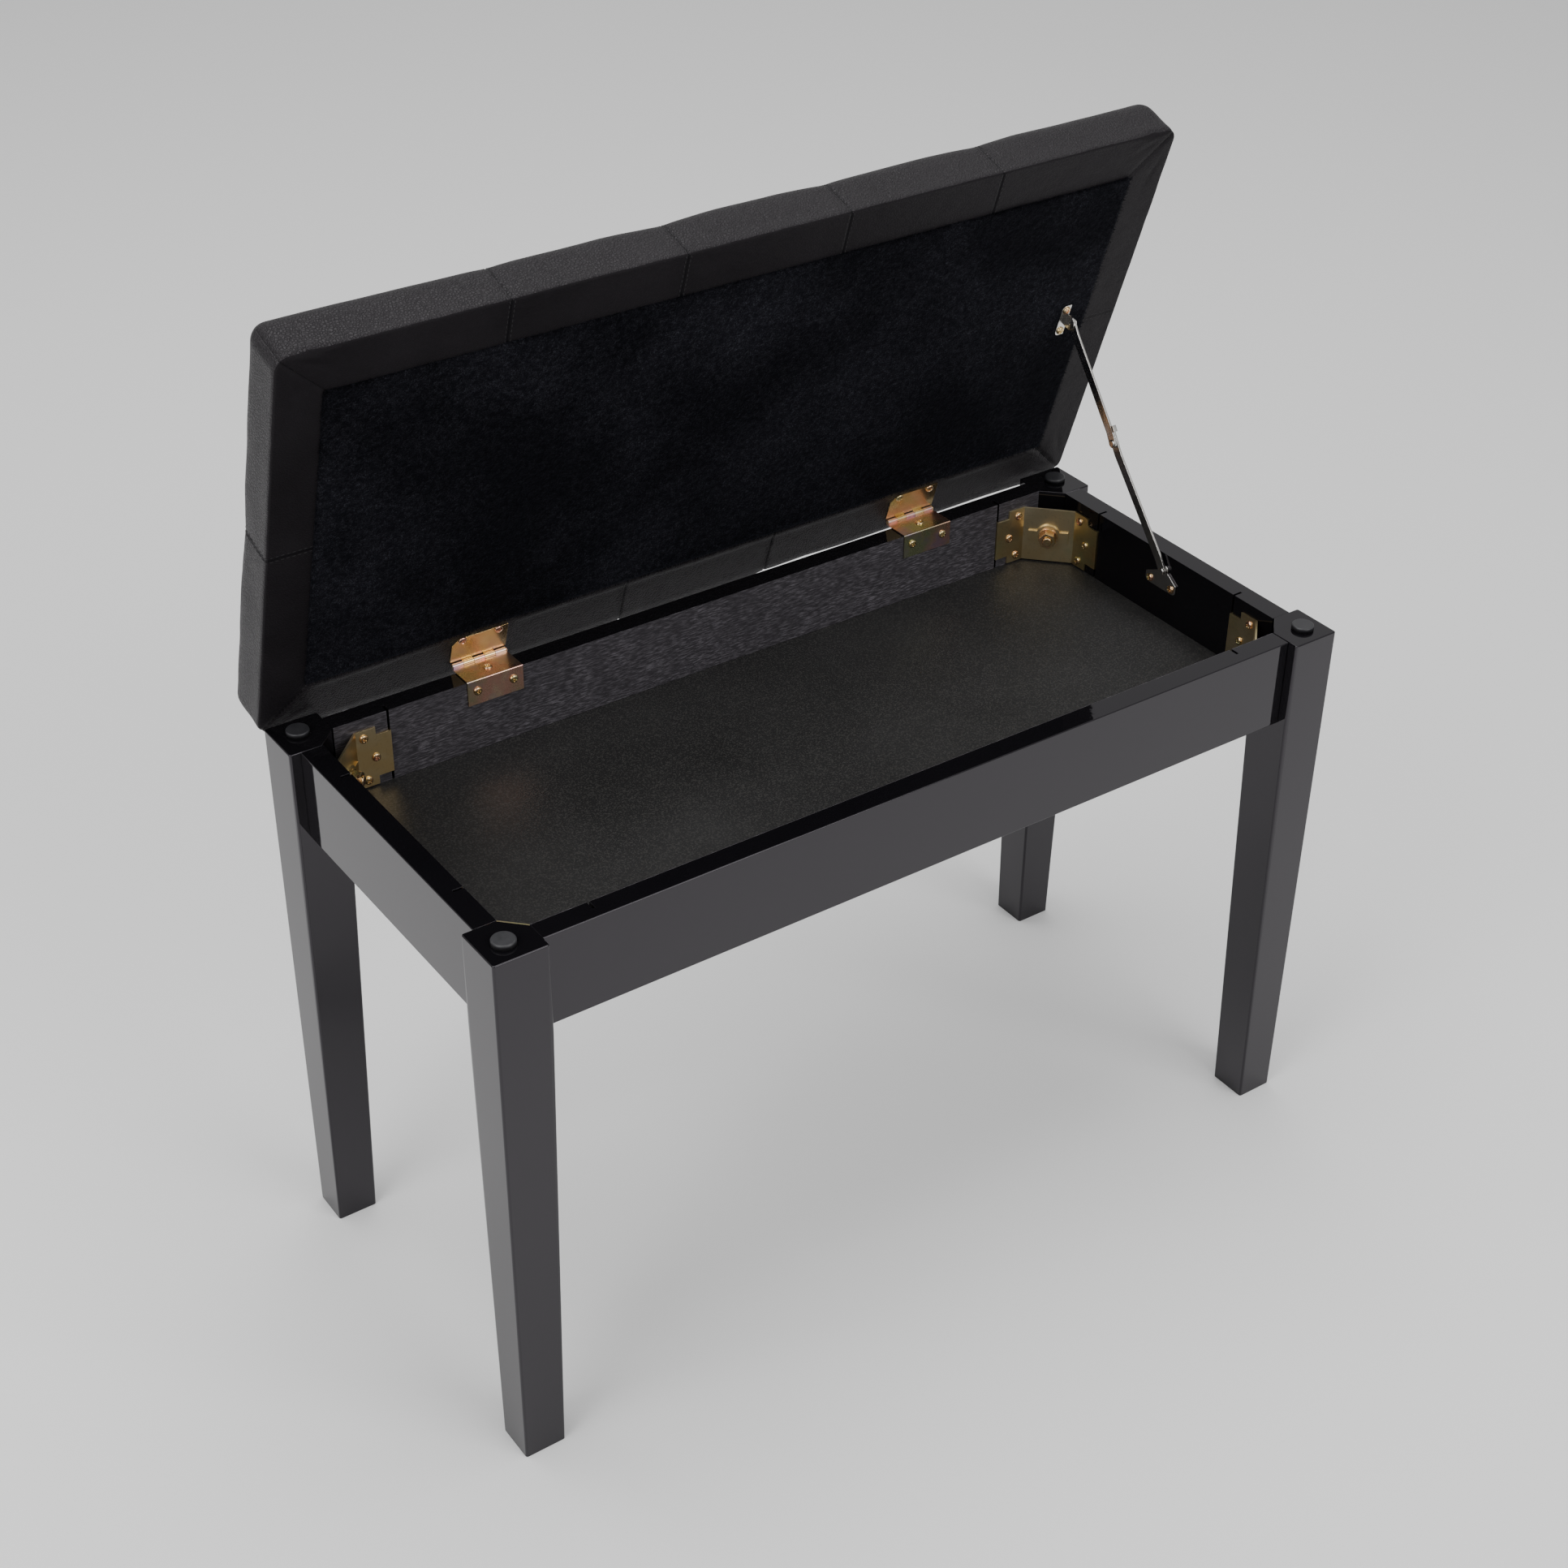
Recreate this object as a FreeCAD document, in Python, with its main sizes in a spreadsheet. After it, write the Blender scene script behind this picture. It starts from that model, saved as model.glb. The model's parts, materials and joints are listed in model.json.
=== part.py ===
"""Piano bench with a hinged padded lid over a storage tray. Millimetres, +Z up.

The bench stands on z = 0 and its lid is open, held by a folding stay on the right.
The origin is under the middle of the open bench's bounding box.
"""
import os
import re

import FreeCAD
import Part
import Sketcher

V = FreeCAD.Vector
X, Y, Z = V(1, 0, 0), V(0, 1, 0), V(0, 0, 1)

doc = FreeCAD.newDocument("PianoBench")

# ---------------------------------------------------------------- driving sizes
sizes = {
    # frame
    "frame_length": 753.6,  # over the legs, left to right
    "frame_depth": 338.7,  # over the legs, front to back
    "leg_height": 462.4,
    "leg_width": 42.7,
    "foot_width": 33.6,  # the two inner sides of a leg taper below the rails
    "leg_edge_round": 2.0,
    "leg_top_round": 1.0,
    "leg_chamfer_margin": 1.0,  # the leg's inner chamfer ends this far behind the rail's face
    "rail_setback": 8.85,
    "rail_thick": 18.0,
    "rail_height": 73.8,
    "rail_drop": 0.3,  # rail top below leg top
    "rail_edge_round": 0.8,
    # storage tray
    "tray_depth": 61.2,  # rail top to tray floor
    "floor_thick": 4.0,
    "groove_depth": 6.0,
    "groove_play": 0.2,
    "floor_play": 0.5,  # left at the bottom of the groove
    "floor_corner_gap": 1.0,  # along each rail, floor's cut corner to leg
    # corner brackets and hanger bolts
    "kerf_width": 2.0,
    "kerf_depth": 8.0,
    "bracket_reach": 31.5,  # inner corner to the bend
    "bracket_flange": 28.8,  # bend to the middle of the saw kerf
    "bracket_thick": 1.5,
    "bracket_top_drop": 10.0,
    "bracket_height": 50.0,
    "bracket_hook": 5.0,
    "bracket_step": 7.0,
    "bracket_step_in": 17.0,  # bend to where the flange narrows
    "boss_length": 34.0,
    "boss_height": 10.0,
    "boss_lift": 2.0,
    "boss_radius": 11.0,
    "bolt_drop": 36.0,  # bolt axis below leg top
    "bolt_radius": 4.0,
    "bolt_in_leg": 25.0,
    "bolt_tip": 2.2,
    "bolt_round": 1.0,
    "nut_across": 13.0,
    "nut_height": 6.5,
    "washer_radius": 8.5,
    "washer_thick": 1.5,
    # wood screws
    "screw_radius": 1.6,
    "screw_length": 14.0,
    "screw_point": 3.0,
    "screw_head_radius": 3.5,
    "screw_head_height": 1.9,
    "pilot_clearance": 0.05,
    "screw_hole_clearance": 0.3,
    # bumpers
    "bumper_radius": 8.75,
    "bumper_height": 4.0,
    "bumper_inset": 18.5,
    "bumper_round": 1.2,
    # lid
    "lid_side_overhang": 4.2,  # lid beyond the legs on the left and right
    "lid_front_overhang": 12.45,
    "lid_thick": 42.0,
    "lid_edge_round": 12.0,
    "lid_corner_round": 13.0,
    "lid_overhang": 6.75,  # closed lid behind the rear legs
    "lid_clearance": 0.2,  # closed lid above the bumpers
    "lid_open_angle": 72.4,
    "cover_thick": 1.5,
    "board_thick": 12.0,
    "lining_side_inset": 36.0,
    "lining_front_inset": 37.9,
    "lining_inset": 41.0,  # on the hinge side
    "lining_thick": 1.2,
    "lining_lap": 10.0,  # lining over the edge of the cover's window
    "soft_gap": 0.2,
    # hinges
    "hinge_back": 6.6,  # hinge axis behind the rear rail
    "hinge_rise": 1.5,  # hinge axis above the leg tops
    "hinge_left_inset": 177.8,  # left end of the frame to the middle of the hinge
    "hinge_right_inset": 163.8,
    "hinge_width": 48.0,
    "hinge_thick": 1.1,
    "hinge_drop": 20.5,
    "hinge_reach": 27.0,
    "hinge_corner_cut": 6.0,
    "knuckle_radius": 2.5,
    "knuckle_length": 9.0,
    "knuckle_gap": 0.2,
    "knuckle_room": 0.4,
    "finger_lap": 0.2,  # a knuckle's finger over its leaf
    "finger_stop": 1.0,  # the finger ends this far before the hinge axis
    "pin_radius": 1.25,
    "pin_clearance": 0.06,
    "pin_head_radius": 2.2,
    "pin_head_height": 1.4,
    "pin_head_gap": 0.1,
    "hinge_screw_x": 15.6,
    "hinge_side_screw_drop": 9.0,
    "hinge_top_screw_in": 7.5,  # in from the rail's outer face
    "hinge_lid_screw_reach": 15.5,
    # folding stay
    "arm_width": 8.0,
    "arm_thick": 1.8,
    "arm_gap": 0.3,
    "arm_flat": 10.0,
    "arm_tail": 14.0,
    "lower_arm_length": 112.25,
    "upper_arm_length": 102.8,
    "stay_pivot_forward": 169.1,  # rail pivot in front of the hinge axis
    "stay_pivot_drop": 15.0,
    "stay_lid_inset": 187.0,
    "stay_lid_hang": 8.0,
    "stay_elbow_inset": 12.45,  # inner face of the right rail to the lower arm at the elbow
    "stay_lid_side_inset": 24.95,
    "stay_plate_thick": 1.5,
    "stay_plate_width": 36.0,
    "stay_plate_screws": 25.2,
    "stay_plate_shift": 2.4,  # the plate's middle behind its rivet
    "stay_plate_edge": 4.5,  # screws to the plate's lower edge and its shoulders
    "stay_plate_round": 4.0,
    "stay_lug_half": 5.0,
    "stay_lug_foot": 1.0,
    "stay_screw_drop": 13.0,
    "stay_strip_length": 30.0,
    "stay_strip_width": 9.0,
    "stay_strip_screws": 20.7,
    "stay_tab_width": 12.0,
    "stay_tab_drop": 4.5,  # rivet to the end of the tab
    "rivet_radius": 1.5,
    "rivet_head_radius": 3.2,
    "rivet_head_height": 1.2,
    "tab_lift": 4.9,
    "tab_thick": 1.8,
    "tab_width": 5.5,
    "tab_lap": 0.5,
    # small allowances
    "dome_share": 0.7,  # rounding of screw, rivet and pin heads, as a share of their height
    "round_margin": 0.5,  # full rounds stop this short of a half circle
    "cut_overrun": 1.0,  # cuts start this far outside the metal or wood
}

# sizes that follow from the driving ones
follows = {
    "rail_back": "rail_setback + rail_thick",
    "inner_x": "frame_length/2 - rail_back",
    "inner_y": "frame_depth/2 - rail_back",
    "rail_top": "leg_height - rail_drop",
    "rail_bottom": "rail_top - rail_height",
    "leg_chamfer": "leg_width - rail_back + leg_chamfer_margin",
    "floor_top": "rail_top - tray_depth",
    "floor_bottom": "floor_top - floor_thick",
    "floor_tongue": "groove_depth - floor_play",
    "chamfer_line": "leg_width - rail_back - leg_chamfer_margin",
    "floor_cut": "chamfer_line + floor_corner_gap + 2*floor_tongue",
    "kerf_offset": "bracket_reach + bracket_flange",
    "bracket_step_from": "bracket_reach + bracket_step_in",
    "bracket_bottom": "leg_height - bracket_top_drop - bracket_height",
    "pilot": "screw_radius + pilot_clearance",
    "screw_hole": "screw_radius + screw_hole_clearance",
    "hinge_y": "frame_depth/2 - rail_setback + hinge_back",
    "hinge_z": "leg_height + hinge_rise",
    "hinge_left_x": "hinge_left_inset - frame_length/2",
    "hinge_right_x": "frame_length/2 - hinge_right_inset",
    "lid_length": "frame_length + 2*lid_side_overhang",
    "lid_depth": "frame_depth + lid_overhang + lid_front_overhang",
    "lid_u": "frame_depth/2 + lid_overhang - hinge_y",
    "lid_v": "bumper_height + lid_clearance - hinge_rise",
    "knuckle_cut": "knuckle_radius + knuckle_room",
    "knuckle_pitch": "knuckle_length + knuckle_gap",
    "hinge_span": "5*knuckle_pitch",
    "lining_length": "lid_length - 2*lining_side_inset",
    "lining_depth": "lid_depth - lining_inset - lining_front_inset",
    "window_x": "lining_length/2 - lining_lap",
    "window_rear": "lid_u - lining_inset - lining_lap",
    "window_front": "lid_u - lining_inset - lining_depth + lining_lap",
    "stay_pivot_y": "hinge_y - stay_pivot_forward",
    "stay_z": "leg_height - stay_pivot_drop",
    "stay_elbow_x": "inner_x - stay_elbow_inset",
    "stay_lid_x": "inner_x - stay_lid_side_inset",
    "stay_base_x": "inner_x - stay_plate_thick - arm_gap - arm_thick/2",
    "upper_elbow_x": "stay_elbow_x - arm_thick - arm_gap",
    "upper_lid_x": "stay_lid_x + arm_gap + arm_thick/2",
    # the stay's lid pivot with the lid open, then the elbow where the two arms meet
    "lid_pivot_u": "lid_u - stay_lid_inset",
    "lid_pivot_v": "lid_v - stay_lid_hang",
    "lid_pivot_y": "hinge_y + lid_pivot_u*cos(lid_open_angle) + lid_pivot_v*sin(lid_open_angle)",
    "lid_pivot_z": "hinge_z - lid_pivot_u*sin(lid_open_angle) + lid_pivot_v*cos(lid_open_angle)",
    "reach_y": "lid_pivot_y - stay_pivot_y",
    "reach_z": "lid_pivot_z - stay_z",
    "reach": "sqrt(reach_y*reach_y + reach_z*reach_z)",
    "along": "(lower_arm_length^2 - upper_arm_length^2 + reach^2) / (2*reach)",
    "aside": "sqrt(lower_arm_length^2 - along^2)",
    "elbow_y": "stay_pivot_y + (reach_y*along + reach_z*aside)/reach",
    "elbow_z": "stay_z + (reach_z*along - reach_y*aside)/reach",
    # the open lid's highest rear point sets where the origin lies
    "lid_back": "hinge_y + (lid_u - lid_edge_round)*cos(lid_open_angle)"
                " + (lid_v + lid_thick - lid_edge_round)*sin(lid_open_angle) + lid_edge_round",
    "middle_shift": "(lid_back - frame_depth/2)/2",
}

sheet = doc.addObject("Spreadsheet::Sheet", "Dims")
for row, (alias, value) in enumerate(sizes.items(), 1):
    sheet.set(f"A{row}", alias)
    sheet.set(f"B{row}", str(value))
    sheet.setAlias(f"B{row}", alias)
doc.recompute()


def spell(text):
    """Write an expression out in cells of the sheet."""
    def cell(match):
        word = match.group(0)
        if word in follows:
            return f"({spell(follows[word])})"
        return f"Dims.{word}" if word in sizes else word
    return re.sub(r"[A-Za-z_]\w*", cell, str(text))


def size(text):
    return float(sheet.evalExpression(spell(text)))


def bind(item, prop, text):
    item.setExpression(prop, spell(text))


parts = []  # every sub-part, in the order it was made


def place(item, x=0, y=0, z=0, axis=Z, turn=0):
    """Put a finished sub-part in the bench; y counts from the middle of the legs."""
    item.Placement = FreeCAD.Placement(V(), FreeCAD.Rotation(axis, 1))
    bind(item, "Placement.Base.x", x)
    bind(item, "Placement.Base.y", f"{y} - middle_shift")
    bind(item, "Placement.Base.z", z)
    bind(item, "Placement.Rotation.Angle", turn)
    parts.append(item)


def place_on_lid(item, x=0, y=0, z=0):
    """Put a sub-part on the open lid; it is drawn about the hinge axis with the lid closed."""
    turned_y = f"hinge_y + ({y})*cos(lid_open_angle) + ({z})*sin(lid_open_angle)"
    turned_z = f"hinge_z - ({y})*sin(lid_open_angle) + ({z})*cos(lid_open_angle)"
    place(item, x, turned_y, turned_z, X, "-lid_open_angle")


def body(label):
    item = doc.addObject("PartDesign::Body", label)
    item.Label = label
    return item


def sketch_on(owner, plane, offset=0):
    sketch = owner.newObject("Sketcher::SketchObject", owner.Name + "_sketch")
    base = [part for part in owner.Origin.OriginFeatures if part.Role == plane][0]
    sketch.AttachmentSupport = [(base, "")]
    sketch.MapMode = "FlatFace"
    bind(sketch, "AttachmentOffset.Base.z", offset)
    return sketch


def pin_down(sketch, shape, point, x, y):
    for kind, text in (("DistanceX", x), ("DistanceY", y)):
        index = sketch.addConstraint(Sketcher.Constraint(kind, -1, 1, shape, point, size(text)))
        bind(sketch, f"Constraints[{index}]", text)


def add_polygon(sketch, points):
    first = sketch.GeometryCount
    count = len(points)
    spots = [V(size(x), size(y), 0) for x, y in points]
    for i in range(count):
        sketch.addGeometry(Part.LineSegment(spots[i], spots[(i + 1) % count]), False)
    for i in range(count):
        joined = Sketcher.Constraint("Coincident", first + i, 2, first + (i + 1) % count, 1)
        sketch.addConstraint(joined)
    for i, (x, y) in enumerate(points):
        pin_down(sketch, first + i, 1, x, y)


def add_circle(sketch, x, y, radius):
    index = sketch.addGeometry(Part.Circle(V(size(x), size(y), 0), Z, size(radius)), False)
    pin_down(sketch, index, 3, x, y)
    bound = sketch.addConstraint(Sketcher.Constraint("Radius", index, size(radius)))
    bind(sketch, f"Constraints[{bound}]", radius)


def rectangle(x0, x1, y0, y1):
    return [(x0, y0), (x1, y0), (x1, y1), (x0, y1)]


def pad(owner, plane, points, length, offset=0, centred=False):
    sketch = sketch_on(owner, plane, offset)
    add_polygon(sketch, points)
    item = owner.newObject("PartDesign::Pad", owner.Name + "_pad")
    item.Profile = sketch
    if centred:
        item.SideType = "Symmetric"
    bind(item, "Length", length)
    doc.recompute()
    return item


def cut(owner, sketch, depth, flip=False):
    """Pocket a sketch and make sure that it removes something."""
    before = owner.Shape.Volume
    item = owner.newObject("PartDesign::Pocket", owner.Name + "_pocket")
    item.Profile = sketch
    item.Reversed = flip
    bind(item, "Length", depth)
    doc.recompute()
    if owner.Shape.Volume > before - 1e-3:
        raise ValueError(f"a pocket in {owner.Label} cuts nothing")


def cut_polygon(owner, plane, points, depth, offset=0, flip=False):
    sketch = sketch_on(owner, plane, offset)
    add_polygon(sketch, points)
    cut(owner, sketch, depth, flip)


def cut_holes(owner, plane, holes, radius, depth, offset=0, flip=False):
    sketch = sketch_on(owner, plane, offset)
    for x, y in holes:
        add_circle(sketch, x, y, radius)
    cut(owner, sketch, depth, flip)


def primitive(owner, kind, where, axis=Z, turn=0, **lengths):
    """Add or subtract a box or cylinder, its corner or base at the given place."""
    item = owner.newObject("PartDesign::" + kind, owner.Name + "_" + kind.lower())
    item.Placement = FreeCAD.Placement(V(), FreeCAD.Rotation(axis, turn))
    for letter, text in zip("xyz", where):
        bind(item, "Placement.Base." + letter, text)
    for name, text in lengths.items():
        bind(item, name, text)
    doc.recompute()
    return item


def round_edges(owner, radius, wanted):
    """Fillet the edges of the body so far that the test picks."""
    tip = owner.Tip
    names = [f"Edge{i}" for i, edge in enumerate(tip.Shape.Edges, 1) if wanted(edge)]
    item = owner.newObject("PartDesign::Fillet", owner.Name + "_round")
    item.Base = (tip, names)
    bind(item, "Radius", radius)
    doc.recompute()


def runs_along(edge, axis):
    start, end = edge.Vertexes[0].Point, edge.Vertexes[-1].Point
    return (end - start).Length > 1e-6 and (end - start).normalize().cross(axis).Length < 1e-6


def lies_at(edge, **where):
    """Whether every end of the edge has the given coordinates."""
    ends = [vertex.Point for vertex in edge.Vertexes]
    return all(abs(getattr(end, letter) - value) < 1e-4 for end in ends
               for letter, value in where.items())


# corners of the frame in the order left and right at the front, then right and left at the
# back, each with the quarter turn that points its local x and y into the bench
corners = [("front_left", -1, -1, 0), ("front_right", 1, -1, 90),
           ("rear_right", 1, 1, 180), ("rear_left", -1, 1, 270)]


# ---------------------------------------------------------------- legs
def make_leg(name, side, end, turn):
    """A square post, drawn from its outer corner; its inner chamfer faces the corner bracket."""
    leg = body("leg_" + name)
    pad(leg, "XY_Plane", rectangle(0, "leg_width", 0, "leg_width"), "leg_height")
    taper = [("leg_width", "rail_bottom"), ("foot_width", 0), ("leg_width", 0)]
    cut_polygon(leg, "XZ_Plane", taper, "leg_width")
    cut_polygon(leg, "YZ_Plane", taper, "leg_width", flip=True)
    chamfer = [("leg_width - leg_chamfer", "leg_width"), ("leg_width", "leg_width - leg_chamfer"),
               ("leg_width", "leg_width")]
    cut_polygon(leg, "XY_Plane", chamfer, "leg_height - rail_bottom", offset="leg_height")
    chamfer_at, shoulder = size("leg_width - leg_chamfer"), size("rail_bottom")

    def long_edge(edge):
        middle = edge.BoundBox.Center
        inner = min(middle.x, middle.y) > chamfer_at
        return edge.Length > shoulder / 2 and not (inner and middle.z > shoulder)

    round_edges(leg, "leg_edge_round", long_edge)
    round_edges(leg, "leg_top_round", lambda edge: lies_at(edge, z=size("leg_height")))
    middle = "leg_width - leg_chamfer/2"
    primitive(leg, "SubtractiveCylinder", (middle, middle, "leg_height - bolt_drop"),
              V(1, -1, 0), 90, Radius="bolt_radius + pilot_clearance", Height="bolt_in_leg + cut_overrun")
    place(leg, f"{side}*frame_length/2", f"{end}*frame_depth/2", 0, Z, turn)


for corner in corners:
    make_leg(*corner)


# ---------------------------------------------------------------- rails
def make_rail(name, length, corner, x, y, turn, more_holes=()):
    """A rail, drawn with its inner face on y = 0 and its bottom on z = 0."""
    rail = body("rail_" + name)
    groove_low = "floor_bottom - rail_bottom"
    groove_high = "floor_top + groove_play - rail_bottom"
    section = [(0, 0), ("rail_thick", 0), ("rail_thick", "rail_height"), (0, "rail_height"),
               (0, groove_high), ("groove_depth", groove_high), ("groove_depth", groove_low),
               (0, groove_low)]
    pad(rail, "YZ_Plane", section, length, centred=True)
    thick = size("rail_thick")
    round_edges(rail, "rail_edge_round", lambda edge: lies_at(edge, y=thick))
    for side in (-1, 1):
        kerf = rectangle(f"{side}*({corner} - kerf_offset) - kerf_width/2",
                         f"{side}*({corner} - kerf_offset) + kerf_width/2", 0, "kerf_depth")
        cut_polygon(rail, "XY_Plane", kerf, "rail_height", flip=True)
    holes = [(f"{side}*({corner} - ({along}))", f"leg_height - {drop} - rail_bottom")
             for side in (-1, 1) for along, drop in bracket_screws]
    cut_holes(rail, "XZ_Plane", holes + list(more_holes), "pilot", "screw_length")
    place(rail, x, y, "rail_bottom", Z, turn)
    return rail


# bracket screws on one flange: distance from the inner corner, depth below the leg top
bracket_screws = [("bracket_reach + 7", 17.0), ("bracket_reach + 15.9", 36.0),
                  ("bracket_reach + 7.9", 54.0)]
hinges = [("left", "hinge_left_x"), ("right", "hinge_right_x")]
hinge_side_holes = [(f"{x} + {side}*hinge_screw_x", "leg_height - hinge_side_screw_drop - rail_bottom")
                    for _, x in hinges for side in (-1, 1)]
stay_holes = [(f"-(stay_pivot_y + stay_plate_shift + {side}*stay_plate_screws/2)",
               "stay_z - stay_screw_drop - rail_bottom") for side in (-1, 1)]
front_length = "frame_length - 2*leg_width"
side_length = "frame_depth - 2*leg_width"

make_rail("front", front_length, "inner_x", 0, "-inner_y", 180)
rear = make_rail("rear", front_length, "inner_x", 0, "inner_y", 0, hinge_side_holes)
cut_holes(rear, "XY_Plane", [(x, "rail_thick - hinge_top_screw_in") for _, x in hinges], "pilot",
          "screw_length", offset="rail_height")
make_rail("left", side_length, "inner_y", "-inner_x", 0, 90)
make_rail("right", side_length, "inner_y", "inner_x", 0, -90, stay_holes)


# ---------------------------------------------------------------- tray floor
def make_floor():
    """A thin panel in the rails' grooves, its corners cut off clear of the legs."""
    floor = body("tray_floor")
    half_x, half_y = "inner_x + floor_tongue", "inner_y + floor_tongue"
    outline = [(f"{half_x}", f"-({half_y} - floor_cut)"), (half_x, f"{half_y} - floor_cut"),
               (f"{half_x} - floor_cut", half_y), (f"-({half_x} - floor_cut)", half_y),
               (f"-({half_x})", f"{half_y} - floor_cut"), (f"-({half_x})", f"-({half_y} - floor_cut)"),
               (f"-({half_x} - floor_cut)", f"-({half_y})"), (f"{half_x} - floor_cut", f"-({half_y})")]
    pad(floor, "XY_Plane", outline, "floor_thick")
    place(floor, z="floor_bottom")


make_floor()


# ---------------------------------------------------------------- corner brackets
def make_bracket(name, side, end, turn):
    """Bent sheet across a corner, drawn from where the two rails' inner faces meet."""
    bracket = body("corner_bracket_" + name)
    near, far = "kerf_offset - bracket_thick/2", "kerf_offset + bracket_thick/2"
    bend = "bracket_reach + bracket_thick*tan(22.5)"
    plan = [(far, "-bracket_hook"), (far, "bracket_thick"), (bend, "bracket_thick"),
            ("bracket_thick", bend), ("bracket_thick", far), ("-bracket_hook", far),
            ("-bracket_hook", near), (0, near), (0, "bracket_reach"), ("bracket_reach", 0),
            (near, 0), (near, "-bracket_hook")]
    pad(bracket, "XY_Plane", plan, "bracket_height")
    beyond, outside = f"{far} + cut_overrun", "-bracket_hook - cut_overrun"
    inside = "bracket_thick + cut_overrun"
    for height, flip in (("bracket_height", False), ("0", True)):
        for box in (rectangle("bracket_step_from", beyond, outside, inside),
                    rectangle(outside, inside, "bracket_step_from", beyond)):
            cut_polygon(bracket, "XY_Plane", box, "bracket_step", offset=height, flip=flip)
    bolt_z = "leg_height - bolt_drop - bracket_bottom"
    primitive(bracket, "AdditiveBox",
              ("bracket_reach/2 + boss_length/sqrt(8)", "bracket_reach/2 - boss_length/sqrt(8)",
               f"{bolt_z} - boss_height/2"), Z, 45,
              Length="bracket_thick + boss_lift", Width="boss_length", Height="boss_height")
    primitive(bracket, "AdditiveCylinder", ("bracket_reach/2", "bracket_reach/2", bolt_z),
              V(-1, 1, 0), 90, Radius="boss_radius", Height="bracket_thick + boss_lift")
    behind = "bracket_reach/2 - cut_overrun"
    primitive(bracket, "SubtractiveCylinder", (behind, behind, bolt_z), V(-1, 1, 0), 90,
              Radius="bolt_radius + screw_hole_clearance",
              Height="bracket_thick + boss_lift + 3*cut_overrun")
    holes = [(along, f"leg_height - {drop} - bracket_bottom") for along, drop in bracket_screws]
    cut_holes(bracket, "XZ_Plane", holes, "screw_hole", "bracket_thick")
    cut_holes(bracket, "YZ_Plane", holes, "screw_hole", "bracket_thick", flip=True)
    place(bracket, f"{side}*inner_x", f"{end}*inner_y", "bracket_bottom", Z, turn)


for corner in corners:
    make_bracket(*corner)


# ---------------------------------------------------------------- fasteners made in groups
def group(label, solids, turned_with_lid=False):
    """Identical loose pieces as one sub-part of separate solids."""
    item = doc.addObject("Part::Feature", label)
    item.Label = label
    item.Shape = Part.makeCompound(solids)
    if turned_with_lid:
        place_on_lid(item)
    else:
        place(item)


def revolved(points):
    """A turned solid about Z from (radius, height) points that start and end on the axis."""
    wire = Part.makePolygon([V(radius, 0, height) for radius, height in points + points[:1]])
    return Part.Face(wire).revolve(V(), Z, 360)


def moved(shape, point, direction):
    """A copy with its own +Z turned to a direction and its origin put at a point."""
    copy = shape.copy()
    copy.Placement = FreeCAD.Placement(point, FreeCAD.Rotation(Z, direction))
    return copy


def round_top(shape, radius):
    top = max(shape.Edges, key=lambda edge: edge.BoundBox.ZMin)
    return shape.makeFillet(radius, [top])


def wood_screw():
    """Pan head on z = 0 upwards, shank and point downwards."""
    shank, length, point = size("screw_radius"), size("screw_length"), size("screw_point")
    head, height = size("screw_head_radius"), size("screw_head_height")
    stem = revolved([(0, -length), (shank, point - length), (shank, 0), (head, 0),
                     (head, height), (0, height)])
    return round_top(stem, height * size("dome_share"))


screw = wood_screw()


def corner_point(side, end, along, across, height):
    """A point at distances along and across from the inner corner of the rails."""
    return V(side * (size("inner_x") - along), end * (size("inner_y") - across), height)


plate = size("bracket_thick")
corner_screws = []
for _, side, end, _ in corners:
    for distance, drop in bracket_screws:
        along, height = size(distance), size("leg_height") - drop
        corner_screws.append(moved(screw, corner_point(side, end, along, plate, height), V(0, -end, 0)))
        corner_screws.append(moved(screw, corner_point(side, end, plate, along, height), V(-side, 0, 0)))
group("corner_bracket_screws", corner_screws)

# the hanger bolt runs along the corner's diagonal, through bracket, washer and nut
root_two = 2 ** 0.5
bolt_height = size("leg_height - bolt_drop")
leg_face = size("chamfer_line") / root_two
boss_face = size("bracket_reach") / root_two + size("bracket_thick + boss_lift")
washer_end = boss_face + size("washer_thick")
nut_end = washer_end + size("nut_height")
bolt_start = leg_face - size("bolt_in_leg")
bolt_length = nut_end + size("bolt_tip") - bolt_start
bolt = round_top(Part.makeCylinder(size("bolt_radius"), bolt_length), size("bolt_round"))
bolt_bore = Part.makeCylinder(size("bolt_radius + pilot_clearance"), size("nut_height"))
nut_corner = V(size("nut_across/sqrt(3)"), 0, 0)
nut_outline = Part.makePolygon([FreeCAD.Rotation(Z, 60 * i).multVec(nut_corner) for i in range(7)])
nut = Part.Face(nut_outline).extrude(V(0, 0, size("nut_height"))).cut(bolt_bore)
washer = Part.makeCylinder(size("washer_radius"), size("washer_thick")).cut(bolt_bore)


def on_diagonals(shape, distance):
    placed = []
    for _, side, end, _ in corners:
        step = distance / root_two
        placed.append(moved(shape, corner_point(side, end, step, step, bolt_height), V(-side, -end, 0)))
    return placed


group("hanger_bolts", on_diagonals(bolt, bolt_start))
group("hanger_washers", on_diagonals(washer, boss_face))
group("hanger_nuts", on_diagonals(nut, washer_end))

bumper = round_top(Part.makeCylinder(size("bumper_radius"), size("bumper_height")), size("bumper_round"))
bumper_x, bumper_y = size("frame_length/2 - bumper_inset"), size("frame_depth/2 - bumper_inset")
group("lid_bumpers", [moved(bumper, V(side * bumper_x, end * bumper_y, size("leg_height")), Z)
                      for _, side, end, _ in corners])


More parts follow.
